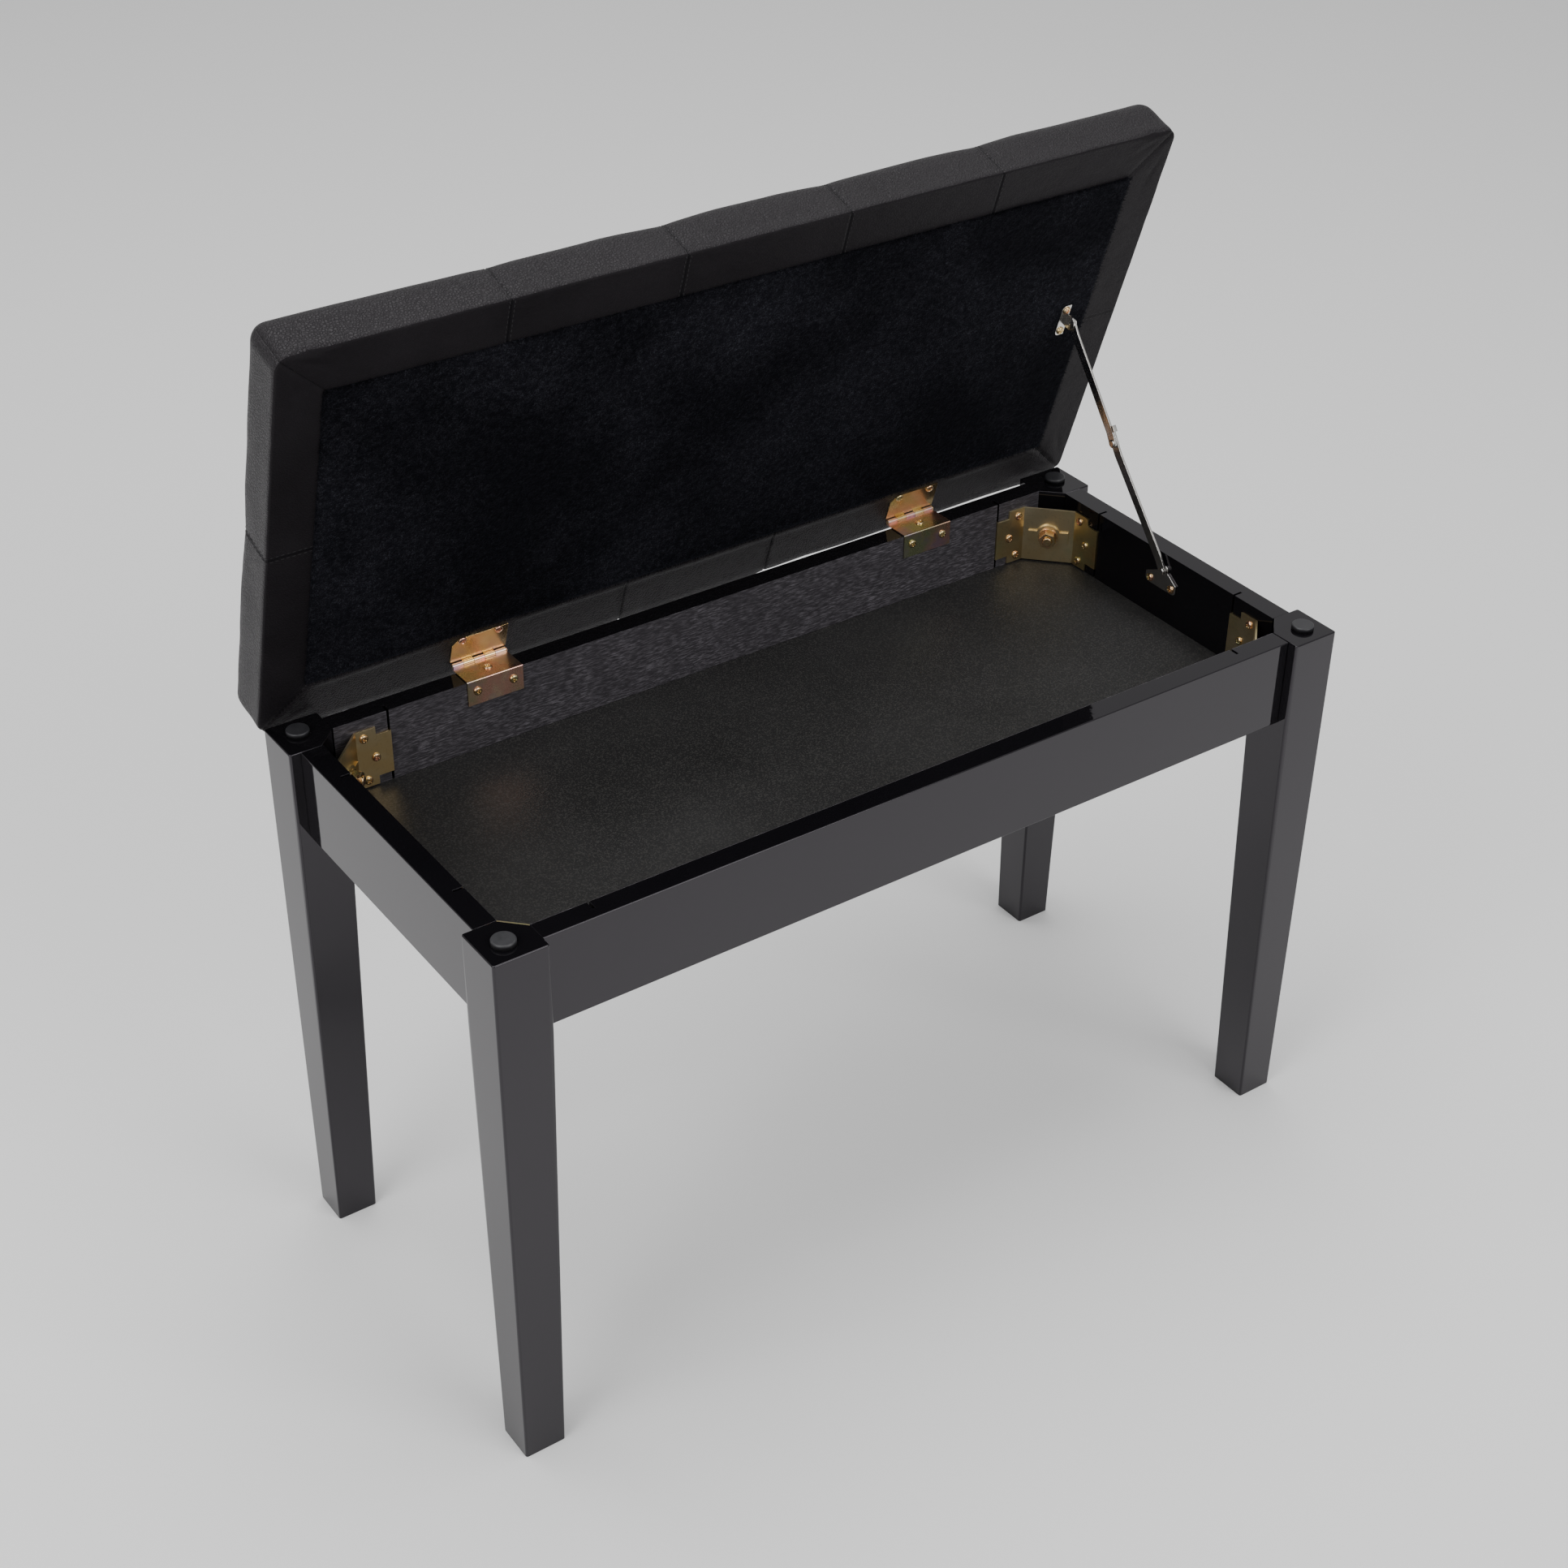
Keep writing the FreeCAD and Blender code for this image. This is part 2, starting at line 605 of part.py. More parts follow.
# ---------------------------------------------------------------- lid
def slab(name, inset, bottom, top, round_top_edges=True):
    """The lid's outline inset by a wall, from one height to another above its underside."""
    item = body(name)
    outline = rectangle(f"-lid_length/2 + {inset}", f"lid_length/2 - ({inset})",
                        f"lid_u - lid_depth + {inset}", f"lid_u - ({inset})")
    pad(item, "XY_Plane", outline, f"{top} - ({bottom})", offset=f"lid_v + {bottom}")
    round_edges(item, f"lid_corner_round - ({inset})", lambda edge: runs_along(edge, Z))
    if round_top_edges:
        highest = size(f"lid_v + {top}")
        round_edges(item, f"lid_edge_round - ({inset})", lambda edge: lies_at(edge, z=highest))
    return item


lid_hinge_holes = [(f"{x} + {side}*hinge_screw_x", "-(lid_u + hinge_lid_screw_reach)")
                   for _, x in hinges for side in (-1, 1)]
strip_x = "stay_lid_x - stay_strip_width/2"
stay_lid_holes = [(strip_x, f"lid_pivot_u + {side}*stay_strip_screws/2") for side in (-1, 1)]

outer = slab("cover_outside", "0", "0", "lid_thick")
inner = slab("cover_inside", "cover_thick", "cover_thick", "lid_thick - cover_thick")
window = doc.addObject("Part::Box", "cover_window")
bind(window, "Length", "2*window_x")
bind(window, "Width", "window_rear - window_front")
bind(window, "Height", "cover_thick")
bind(window, "Placement.Base.x", "-window_x")
bind(window, "Placement.Base.y", "window_front")
bind(window, "Placement.Base.z", "lid_v")
inside = doc.addObject("Part::Fuse", "cover_hollow")
inside.Base, inside.Tool = inner, window
shell = doc.addObject("Part::Cut", "cover_shell")
shell.Base, shell.Tool = outer, inside
screws_through = doc.addObject("Part::Feature", "cover_screw_holes")
screws_through.Shape = Part.makeCompound([
    Part.makeCylinder(size("pilot"), size("cover_thick + 2*cut_overrun"),
                      V(size(x), size(y), size("lid_v - cut_overrun")))
    for x, y in lid_hinge_holes])
cover = doc.addObject("Part::Cut", "seat_cover")
cover.Base, cover.Tool = shell, screws_through
place_on_lid(cover)

board_top = "cover_thick + board_thick"
board = slab("lid_board", "cover_thick", "cover_thick", board_top, round_top_edges=False)
cut_holes(board, "XY_Plane", lid_hinge_holes, "pilot",
          "screw_length - hinge_thick - cover_thick", offset="lid_v + cover_thick", flip=True)
cut_holes(board, "XY_Plane", stay_lid_holes, "pilot",
          "screw_length - stay_plate_thick - lining_thick - cover_thick",
          offset="lid_v + cover_thick", flip=True)
place_on_lid(board)
place_on_lid(slab("seat_foam", "cover_thick", board_top, "lid_thick - cover_thick"))

lining = body("lid_lining")
pad(lining, "XY_Plane", rectangle("-lining_length/2", "lining_length/2",
                                  "lid_u - lining_inset - lining_depth", "lid_u - lining_inset"),
    "lining_thick", offset="lid_v - lining_thick")
pad(lining, "XY_Plane", rectangle("-window_x + soft_gap", "window_x - soft_gap",
                                  "window_front + soft_gap", "window_rear - soft_gap"),
    "cover_thick", offset="lid_v")
cut_holes(lining, "XY_Plane", stay_lid_holes, "pilot", "lining_thick + cover_thick",
          offset="lid_v - lining_thick", flip=True)
place_on_lid(lining)


# ---------------------------------------------------------------- hinges
def add_knuckles(leaf, numbers, finger_z):
    """Rolled knuckles on the axis, each with a finger of sheet to its leaf."""
    for number in numbers:
        start = f"({number} - 2.5)*knuckle_pitch + knuckle_gap/2"
        primitive(leaf, "AdditiveBox", (start, "-knuckle_cut - finger_lap", finger_z),
                  Length="knuckle_length", Width="knuckle_cut + finger_lap - finger_stop",
                  Height="hinge_thick")
        primitive(leaf, "AdditiveCylinder", (start, 0, 0), Y, 90,
                  Radius="knuckle_radius", Height="knuckle_length")
    primitive(leaf, "SubtractiveCylinder", ("-hinge_width", 0, 0), Y, 90,
              Radius="pin_radius + pin_clearance", Height="2*hinge_width")


def make_rail_leaf(name, x):
    """Leaf bent over the rear rail, down its inner face; drawn about the hinge axis."""
    leaf = body("hinge_rail_leaf_" + name)
    face = "-(rail_thick + hinge_back)"
    low, sheet_low = "-(hinge_drop + hinge_rise)", "-(rail_drop + hinge_rise)"
    section = [(f"{face} - hinge_thick", low), (face, low), (face, sheet_low),
               ("-knuckle_cut", sheet_low), ("-knuckle_cut", f"{sheet_low} + hinge_thick"),
               (f"{face} - hinge_thick", f"{sheet_low} + hinge_thick")]
    pad(leaf, "YZ_Plane", section, "hinge_width", centred=True)
    bend_y, bend_z = size(f"{face} - hinge_thick"), size(f"{sheet_low} + hinge_thick")
    round_edges(leaf, "hinge_thick", lambda edge: lies_at(edge, y=bend_y, z=bend_z))
    add_knuckles(leaf, (0, 2, 4), sheet_low)
    side_holes = [(f"{side}*hinge_screw_x", "-(hinge_side_screw_drop + hinge_rise)") for side in (-1, 1)]
    cut_holes(leaf, "XZ_Plane", side_holes, "screw_hole", "hinge_thick",
              offset="rail_thick + hinge_back + hinge_thick")
    cut_holes(leaf, "XY_Plane", [(0, "-(hinge_back + hinge_top_screw_in)")], "screw_hole",
              "hinge_thick", offset=f"{sheet_low} + hinge_thick")
    place(leaf, x, "hinge_y", "hinge_z")


def make_lid_leaf(name, x):
    """Flat leaf under the lid, one corner clipped; drawn about the hinge axis, lid closed."""
    leaf = body("hinge_lid_leaf_" + name)
    half = "hinge_width/2"
    outline = [(f"-{half}", "-knuckle_cut"), (f"-{half}", "-hinge_reach + hinge_corner_cut"),
               (f"-{half} + hinge_corner_cut", "-hinge_reach"), (half, "-hinge_reach"),
               (half, "-knuckle_cut")]
    pad(leaf, "XY_Plane", outline, "hinge_thick", offset="lid_v - hinge_thick")
    add_knuckles(leaf, (1, 3), "lid_v - hinge_thick")
    holes = [(f"{side}*hinge_screw_x", "-(lid_u + hinge_lid_screw_reach)") for side in (-1, 1)]
    cut_holes(leaf, "XY_Plane", holes, "screw_hole", "hinge_thick", offset="lid_v - hinge_thick",
              flip=True)
    place_on_lid(leaf, x)


def make_pin(name, x):
    pin = body("hinge_pin_" + name)
    primitive(pin, "AdditiveCylinder", ("-hinge_span/2", 0, 0), Y, 90,
              Radius="pin_radius", Height="hinge_span + pin_head_gap")
    primitive(pin, "AdditiveCylinder", ("hinge_span/2 + pin_head_gap", 0, 0), Y, 90,
              Radius="pin_head_radius", Height="pin_head_height")
    tip = size("hinge_span/2 + pin_head_gap + pin_head_height")
    round_edges(pin, "pin_head_height*dome_share", lambda edge: lies_at(edge, x=tip))
    place(pin, x, "hinge_y", "hinge_z")


rail_screws, lid_screws = [], []
for name, x in hinges:
    make_rail_leaf(name, x)
    make_lid_leaf(name, x)
    make_pin(name, x)
    for side in (-1, 1):
        across = size(f"{x} + {side}*hinge_screw_x")
        rail_screws.append(moved(screw, V(across, size("inner_y - hinge_thick"),
                                          size("leg_height - hinge_side_screw_drop")), V(0, -1, 0)))
        lid_screws.append(moved(screw, V(across, -size("lid_u + hinge_lid_screw_reach"),
                                         size("lid_v - hinge_thick")), V(0, 0, -1)))
    rail_screws.append(moved(screw, V(size(x), size("frame_depth/2 - rail_setback - hinge_top_screw_in"),
                                      size("rail_top + hinge_thick")), Z))
group("hinge_rail_screws", rail_screws)
group("hinge_lid_screws", lid_screws, turned_with_lid=True)


# ---------------------------------------------------------------- folding stay
def make_rivet(name, length, x, y, z, on_lid=False, heads_left=True):
    """Shank from the far side towards its head; the head is on the left unless told otherwise."""
    rivet = body(name)
    way = -90 if heads_left else 90
    sign = -1 if heads_left else 1
    primitive(rivet, "AdditiveCylinder", (0, 0, 0), Y, way, Radius="rivet_radius", Height=length)
    primitive(rivet, "AdditiveCylinder", (f"{sign}*({length})", 0, 0), Y, way,
              Radius="rivet_head_radius", Height="rivet_head_height")
    end = size(f"{sign}*({length} + rivet_head_height)")
    round_edges(rivet, "rivet_head_height*dome_share", lambda edge: lies_at(edge, x=end))
    (place_on_lid if on_lid else place)(rivet, x, y, z)


def make_rail_plate():
    """Flat plate on the right rail with a lug for the lower arm; drawn from the rivet."""
    item = body("stay_rail_bracket")
    base, shoulder = "-(stay_screw_drop + stay_plate_edge)", "-(stay_screw_drop - stay_plate_edge)"
    left, right = "stay_plate_shift - stay_plate_width/2", "stay_plate_shift + stay_plate_width/2"
    lug, foot = "stay_lug_half", "-stay_lug_foot"
    outline = [(left, base), (right, base), (right, shoulder), (lug, foot), (lug, lug),
               (f"-{lug}", lug), (f"-{lug}", foot), (left, shoulder)]
    pad(item, "YZ_Plane", outline, "stay_plate_thick")
    for height in (size(base), size(lug)):
        round_edges(item, "stay_plate_round",
                    lambda edge: lies_at(edge, z=height) and runs_along(edge, X))
    holes = [(f"stay_plate_shift + {side}*stay_plate_screws/2", "-stay_screw_drop") for side in (-1, 1)]
    cut_holes(item, "YZ_Plane", holes, "screw_hole", "stay_plate_thick", flip=True)
    cut_holes(item, "YZ_Plane", [(0, 0)], "rivet_radius + pilot_clearance", "stay_plate_thick", flip=True)
    place(item, "inner_x - stay_plate_thick", "stay_pivot_y", "stay_z")


def make_arm(name, start_x, end_x, length, tail):
    """Flat bar along +Y from its pivot to the elbow, cranked sideways between flat ends."""
    arm = body(name)
    thick, wide = "arm_thick/2", "arm_width/2"
    outline = [(f"{start_x} - {thick}", f"-{wide}"), (f"{start_x} + {thick}", f"-{wide}"),
               (f"{start_x} + {thick}", "arm_flat"), (f"{end_x} + {thick}", f"{length} - arm_flat"),
               (f"{end_x} + {thick}", f"{length} + {tail}"), (f"{end_x} - {thick}", f"{length} + {tail}"),
               (f"{end_x} - {thick}", f"{length} - arm_flat"), (f"{start_x} - {thick}", "arm_flat")]
    pad(arm, "XY_Plane", outline, "arm_width", centred=True)
    low, high = -size(wide), size(f"{length} + {tail}")
    round_edges(arm, "arm_width/2 - round_margin", lambda edge: runs_along(edge, X)
                and (lies_at(edge, y=low) or (tail == wide and lies_at(edge, y=high))))
    for x, y in ((start_x, 0), (end_x, length)):
        primitive(arm, "SubtractiveCylinder", (f"{x} - 2*arm_thick", y, 0), Y, 90,
                  Radius="rivet_radius + pin_clearance", Height="4*arm_thick")
    return arm


make_rail_plate()
make_rivet("stay_rail_rivet", "stay_plate_thick + arm_thick + 2*arm_gap", "inner_x",
           "stay_pivot_y", "stay_z")

lower = make_arm("stay_lower_arm", "stay_base_x", "stay_elbow_x", "lower_arm_length", "arm_tail")
tab_y = "lower_arm_length + arm_tail - tab_width"
primitive(lower, "AdditiveBox", ("stay_elbow_x - arm_thick/2", tab_y, "arm_width/2 - tab_lap"),
          Length="arm_thick", Width="tab_width", Height="tab_lift - arm_width/2 + 2*tab_lap")
primitive(lower, "AdditiveBox", ("upper_elbow_x - arm_thick/2", tab_y, "tab_lift"),
          Length="2*arm_thick + arm_gap", Width="tab_width", Height="tab_thick")
lower_turn = "atan2(elbow_z - stay_z; elbow_y - stay_pivot_y)"
place(lower, 0, "stay_pivot_y", "stay_z", X, lower_turn)

upper = make_arm("stay_upper_arm", "upper_lid_x", "upper_elbow_x", "upper_arm_length", "arm_width/2")
upper_turn = "atan2(elbow_z - lid_pivot_z; elbow_y - lid_pivot_y)"
place(upper, 0, "lid_pivot_y", "lid_pivot_z", X, upper_turn)

# the elbow's rivet is split: each half stays with its own arm
make_rivet("stay_elbow_rivet_lower", "arm_thick", "stay_elbow_x - arm_thick/2", "elbow_y", "elbow_z",
           heads_left=False)
make_rivet("stay_elbow_rivet_upper", "arm_thick", "upper_elbow_x + arm_thick/2", "elbow_y", "elbow_z")


def make_lid_plate():
    """Strip screwed to the lid's lining with a tab for the upper arm; drawn from the rivet."""
    item = body("stay_lid_bracket")
    high = "stay_lid_hang - lining_thick"
    primitive(item, "AdditiveBox", ("-stay_strip_width", "-stay_strip_length/2",
                                    f"{high} - stay_plate_thick"),
              Length="stay_strip_width", Width="stay_strip_length", Height="stay_plate_thick")
    round_edges(item, "stay_strip_width/2 - round_margin",
                lambda edge: runs_along(edge, Z) and lies_at(edge, x=-size("stay_strip_width")))
    primitive(item, "AdditiveBox", ("-stay_plate_thick", "-stay_tab_width/2", "-stay_tab_drop"),
              Length="stay_plate_thick", Width="stay_tab_width", Height=f"{high} + stay_tab_drop")
    round_edges(item, "stay_tab_width/2 - round_margin",
                lambda edge: runs_along(edge, X) and lies_at(edge, z=-size("stay_tab_drop")))
    holes = [("-stay_strip_width/2", f"{side}*stay_strip_screws/2") for side in (-1, 1)]
    cut_holes(item, "XY_Plane", holes, "screw_hole", "stay_plate_thick", offset=high)
    cut_holes(item, "YZ_Plane", [(0, 0)], "rivet_radius + pilot_clearance", "stay_plate_thick")
    place_on_lid(item, "stay_lid_x", "lid_pivot_u", "lid_pivot_v")


make_lid_plate()
make_rivet("stay_lid_rivet", "stay_plate_thick + arm_thick + 2*arm_gap",
           "stay_lid_x - stay_plate_thick", "lid_pivot_u", "lid_pivot_v", on_lid=True, heads_left=False)
group("stay_rail_screws", [
    moved(screw, V(size("inner_x - stay_plate_thick"),
                   size(f"stay_pivot_y + stay_plate_shift + {side}*stay_plate_screws/2"),
                   size("stay_z - stay_screw_drop")), V(-1, 0, 0)) for side in (-1, 1)])
group("stay_lid_screws", [
    moved(screw, V(size(x), size(y), size("lid_v - lining_thick - stay_plate_thick")), V(0, 0, -1))
    for x, y in stay_lid_holes], turned_with_lid=True)

# ---------------------------------------------------------------- check and write
doc.recompute()
for item in doc.Objects:
    if {"Invalid", "Error"} & set(item.State):
        raise ValueError(f"{item.Label} failed: {item.State}")
os.makedirs("parts", exist_ok=True)
for part in parts:
    if part.Shape.isNull() or not part.Shape.isValid():
        raise ValueError(f"{part.Label} has no valid shape")
    part.Shape.exportStep(f"parts/{part.Label}.step")
print(len(parts), "sub-parts written")
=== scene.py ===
import json
import math

import bmesh
import bpy
from mathutils import Matrix, Vector, noise

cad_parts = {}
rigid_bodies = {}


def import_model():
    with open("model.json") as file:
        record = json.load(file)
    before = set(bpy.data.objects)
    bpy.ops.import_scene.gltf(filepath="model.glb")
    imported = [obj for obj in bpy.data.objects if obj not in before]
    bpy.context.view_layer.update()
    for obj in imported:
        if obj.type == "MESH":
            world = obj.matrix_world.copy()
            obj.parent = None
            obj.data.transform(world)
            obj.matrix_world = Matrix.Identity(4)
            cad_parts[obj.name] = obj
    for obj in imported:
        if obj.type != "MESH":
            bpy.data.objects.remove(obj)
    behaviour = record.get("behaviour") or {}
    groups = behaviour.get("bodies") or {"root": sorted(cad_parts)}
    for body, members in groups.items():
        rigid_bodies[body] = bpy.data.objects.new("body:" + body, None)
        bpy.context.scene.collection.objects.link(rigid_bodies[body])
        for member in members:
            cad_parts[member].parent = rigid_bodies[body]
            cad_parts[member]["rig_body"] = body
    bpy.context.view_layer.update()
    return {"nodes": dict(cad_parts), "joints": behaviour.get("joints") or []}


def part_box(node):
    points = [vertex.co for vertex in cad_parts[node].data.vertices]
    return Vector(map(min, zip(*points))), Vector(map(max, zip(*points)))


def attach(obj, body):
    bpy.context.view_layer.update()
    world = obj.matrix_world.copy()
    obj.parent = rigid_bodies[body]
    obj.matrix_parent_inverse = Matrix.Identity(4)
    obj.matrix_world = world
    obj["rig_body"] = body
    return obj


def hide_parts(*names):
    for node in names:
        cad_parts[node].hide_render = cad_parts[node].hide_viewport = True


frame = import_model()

scene = bpy.context.scene
nodes = frame["nodes"]
joints = {joint["name"]: joint for joint in frame["joints"]}
hinge = Vector(joints["lid_hinge"]["pos_m"])
openAngle = math.radians(joints["lid_hinge"]["range_deg"][1])
mm = 0.001
print("frame loaded,", len(nodes), "nodes")


# the lid is drawn closed, about the hinge, and then folded open
unfold = Matrix.Translation(hinge) @ Matrix.Rotation(openAngle, 4, "X") @ Matrix.Translation(-hinge)
foldOpen = unfold.inverted()


def closedBox(name):
    points = [unfold @ vertex.co for vertex in nodes[name].data.vertices]
    low = Vector([min(p[i] for p in points) for i in range(3)])
    high = Vector([max(p[i] for p in points) for i in range(3)])
    return low, high


def addObject(name, mesh, material=None):
    item = bpy.data.objects.new(name, mesh)
    scene.collection.objects.link(item)
    if material:
        mesh.materials.append(material)
    return item


def finishedMesh(edit, name):
    # normals turned outwards, smooth shading
    bmesh.ops.recalc_face_normals(edit, faces=edit.faces)
    for face in edit.faces:
        face.smooth = True
    mesh = bpy.data.meshes.new(name)
    edit.to_mesh(mesh)
    edit.free()
    return mesh


def pieceName(node):
    first, *rest = node.split("_")
    return first + "".join(word.title() for word in rest)


def settle(item):
    # turn an object with modifiers into a plain mesh
    bpy.context.view_layer.update()
    graph = bpy.context.evaluated_depsgraph_get()
    mesh = bpy.data.meshes.new_from_object(item.evaluated_get(graph), depsgraph=graph)
    item.modifiers.clear()
    item.data = mesh
    return item


# shader groups: each reads a vector and a few numbers, and gives masks or heights

def newGroup(name, inputs, outputs):
    tree = bpy.data.node_groups.new(name, "ShaderNodeTree")
    tree.interface.new_socket("Vector", in_out="INPUT", socket_type="NodeSocketVector")
    for label, value in inputs.items():
        tree.interface.new_socket(label, in_out="INPUT", socket_type="NodeSocketFloat").default_value = value
    for label in outputs:
        tree.interface.new_socket(label, in_out="OUTPUT", socket_type="NodeSocketFloat")
    return tree, tree.nodes.new("NodeGroupInput").outputs, tree.nodes.new("NodeGroupOutput").inputs


def link(tree, output, target):
    tree.links.new(output, target)


def addNode(tree, kind, values=None, **properties):
    node = tree.nodes.new(kind)
    for key, value in properties.items():
        setattr(node, key, value)
    for key, value in (values or {}).items():
        if isinstance(value, bpy.types.NodeSocket):
            tree.links.new(value, node.inputs[key])
        else:
            node.inputs[key].default_value = value
    return node


def maths(tree, operation, first, second=0.0, third=None):
    values = {0: first, 1: second}
    if third is not None:
        values[2] = third
    return addNode(tree, "ShaderNodeMath", values, operation=operation).outputs[0]


def vectorMaths(tree, operation, first, second):
    return addNode(tree, "ShaderNodeVectorMath", {0: first, 1: second}, operation=operation).outputs[0]


def ramp(tree, value, low, high, start=0.0, end=1.0):
    node = addNode(tree, "ShaderNodeMapRange", {"Value": value, "From Min": low, "From Max": high,
                                                 "To Min": start, "To Max": end})
    return node.outputs["Result"]


def mixColour(tree, factor, first, second):
    return addNode(tree, "ShaderNodeMix", {0: factor, 6: first, 7: second}, data_type="RGBA").outputs[2]


def cloud(tree, vector, scale, detail=2.0, roughness=0.5, distortion=0.0):
    node = addNode(tree, "ShaderNodeTexNoise", {"Vector": vector, "Scale": scale, "Detail": detail,
                                                "Roughness": roughness, "Distortion": distortion})
    return node.outputs[0]


def mapped(tree, vector, **settings):
    return addNode(tree, "ShaderNodeMapping", {"Vector": vector, **settings}).outputs[0]


def mottleGroup():
    # soft uneven patches, a value from 0 to 1
    tree, start, end = newGroup("softMottle", {"Scale": 20.0, "Contrast": 0.5}, ["Mask"])
    patches = cloud(tree, start["Vector"], start["Scale"], 4.0, 0.55)
    gain = maths(tree, "MULTIPLY", start["Contrast"], 4.0)
    spread = maths(tree, "MULTIPLY_ADD", maths(tree, "SUBTRACT", patches, 0.5), gain, 0.5)
    link(tree, addNode(tree, "ShaderNodeClamp", {"Value": spread}).outputs[0], end["Mask"])
    return tree


def scuffGroup():
    # fine stretched scratches that show only in places
    tree, start, end = newGroup("faintScuffs", {"Scale": 60.0, "Stretch": 6.0, "Amount": 0.5}, ["Mask"])
    stretch = addNode(tree, "ShaderNodeCombineXYZ", {0: 1.0, 1: start["Stretch"], 2: start["Stretch"]})
    pulled = vectorMaths(tree, "MULTIPLY", start["Vector"], stretch.outputs[0])
    thin = ramp(tree, cloud(tree, pulled, start["Scale"], 3.0, distortion=0.4), 0.62, 0.7)
    where = ramp(tree, cloud(tree, start["Vector"], 14.0), 0.5, 0.62)
    both = maths(tree, "MULTIPLY", thin, where)
    link(tree, maths(tree, "MULTIPLY", both, start["Amount"]), end["Mask"])
    return tree


def speckleGroup():
    # tiny light grains, as in board and rubber
    tree, start, end = newGroup("fineSpeckle", {"Scale": 900.0, "Cover": 0.3}, ["Mask", "Height"])
    grain = cloud(tree, start["Vector"], start["Scale"])
    low = maths(tree, "MULTIPLY_ADD", start["Cover"], -0.35, 0.68)
    link(tree, ramp(tree, grain, low, maths(tree, "ADD", low, 0.07)), end["Mask"])
    link(tree, grain, end["Height"])
    return tree


def pebbleGroup():
    # pebbled leather grain: rounded cells with fine creases between them
    tree, start, end = newGroup("leatherPebble", {"Scale": 700.0, "Crease": 0.6}, ["Height", "Creases"])
    bend = addNode(tree, "ShaderNodeTexNoise", {"Vector": start["Vector"], "Scale": 260.0})
    shift = vectorMaths(tree, "MULTIPLY", bend.outputs["Color"], (0.0012, 0.0012, 0.0012))
    bent = vectorMaths(tree, "ADD", start["Vector"], shift)
    cells = addNode(tree, "ShaderNodeTexVoronoi", {"Vector": bent, "Scale": start["Scale"]},
                    feature="DISTANCE_TO_EDGE")
    domed = ramp(tree, cells.outputs["Distance"], 0.0, 0.22)
    fine = cloud(tree, start["Vector"], 2600.0)
    link(tree, maths(tree, "MULTIPLY_ADD", fine, 0.25, domed), end["Height"])
    creases = maths(tree, "MULTIPLY", maths(tree, "SUBTRACT", 1.0, domed), start["Crease"])
    link(tree, creases, end["Creases"])
    return tree


def mitreGroup():
    # thin lines on the corner diagonals of a rectangle seen square on
    tree, start, end = newGroup("mitreLines", {"Half Width": 0.38, "Half Depth": 0.18, "Reach": 0.046,
                                               "Thickness": 0.0006}, ["Mask"])
    axes = addNode(tree, "ShaderNodeSeparateXYZ", {0: start["Vector"]}).outputs
    fromX = maths(tree, "SUBTRACT", start["Half Width"], maths(tree, "ABSOLUTE", axes["X"]))
    fromY = maths(tree, "SUBTRACT", start["Half Depth"], maths(tree, "ABSOLUTE", axes["Y"]))
    across = maths(tree, "ABSOLUTE", maths(tree, "SUBTRACT", fromX, fromY))
    line = ramp(tree, across, start["Thickness"], 0.0)
    near = maths(tree, "LESS_THAN", maths(tree, "MAXIMUM", fromX, fromY), start["Reach"])
    link(tree, maths(tree, "MULTIPLY", line, near), end["Mask"])
    return tree


groups = {"mitre": mitreGroup(), "mottle": mottleGroup(), "scuffs": scuffGroup(), "speckle": speckleGroup(),
          "pebble": pebbleGroup()}


def useGroup(tree, name, vector, **values):
    node = tree.nodes.new("ShaderNodeGroup")
    node.node_tree = groups[name]
    link(tree, vector, node.inputs["Vector"])
    for key, value in values.items():
        node.inputs[key].default_value = value
    return node.outputs


def mottled(tree, place, scale, contrast=0.5):
    return useGroup(tree, "mottle", place, Scale=scale, Contrast=contrast)["Mask"]


def startMaterial(name, **settings):
    material = bpy.data.materials.new(name)
    material.use_nodes = True
    tree = material.node_tree
    shader = tree.nodes["Principled BSDF"]
    for key, value in settings.items():
        shader.inputs[key].default_value = value
    place = tree.nodes.new("ShaderNodeTexCoord").outputs["Object"]
    return material, tree, shader, place


def dress(tree, shader, colour, roughness, height=None, strength=0.5, distance=0.0002):
    # the colour, the roughness and, where there is a height, the bump
    link(tree, colour, shader.inputs["Base Color"])
    if roughness is not None:
        link(tree, roughness, shader.inputs["Roughness"])
    if height is not None:
        raised = addNode(tree, "ShaderNodeBump", {"Height": height, "Strength": strength,
                                                  "Distance": distance}).outputs[0]
        link(tree, raised, shader.inputs["Normal"])


print("shader groups made")


lacquer = {
    "colour": (0.0035, 0.0032, 0.004, 1),
    "hazed": (0.007, 0.0065, 0.0075, 1),
    "tint": (0.98, 0.92, 1.0, 1),
    "roughness": 0.03,
    "rubbed": 0.13,  # roughness where cloths have dulled it
    "orangePeel": 0.00004,
    "railStain": (0.024, 0.022, 0.025, 1),
    "railStainPale": (0.19, 0.176, 0.197, 1),
    "grainScale": 950.0,
    "grainPull": (0.13, 0.13, 1.0),  # the grain runs along the rail
    "openGrain": 8.0,  # how much rougher the stained face is
}


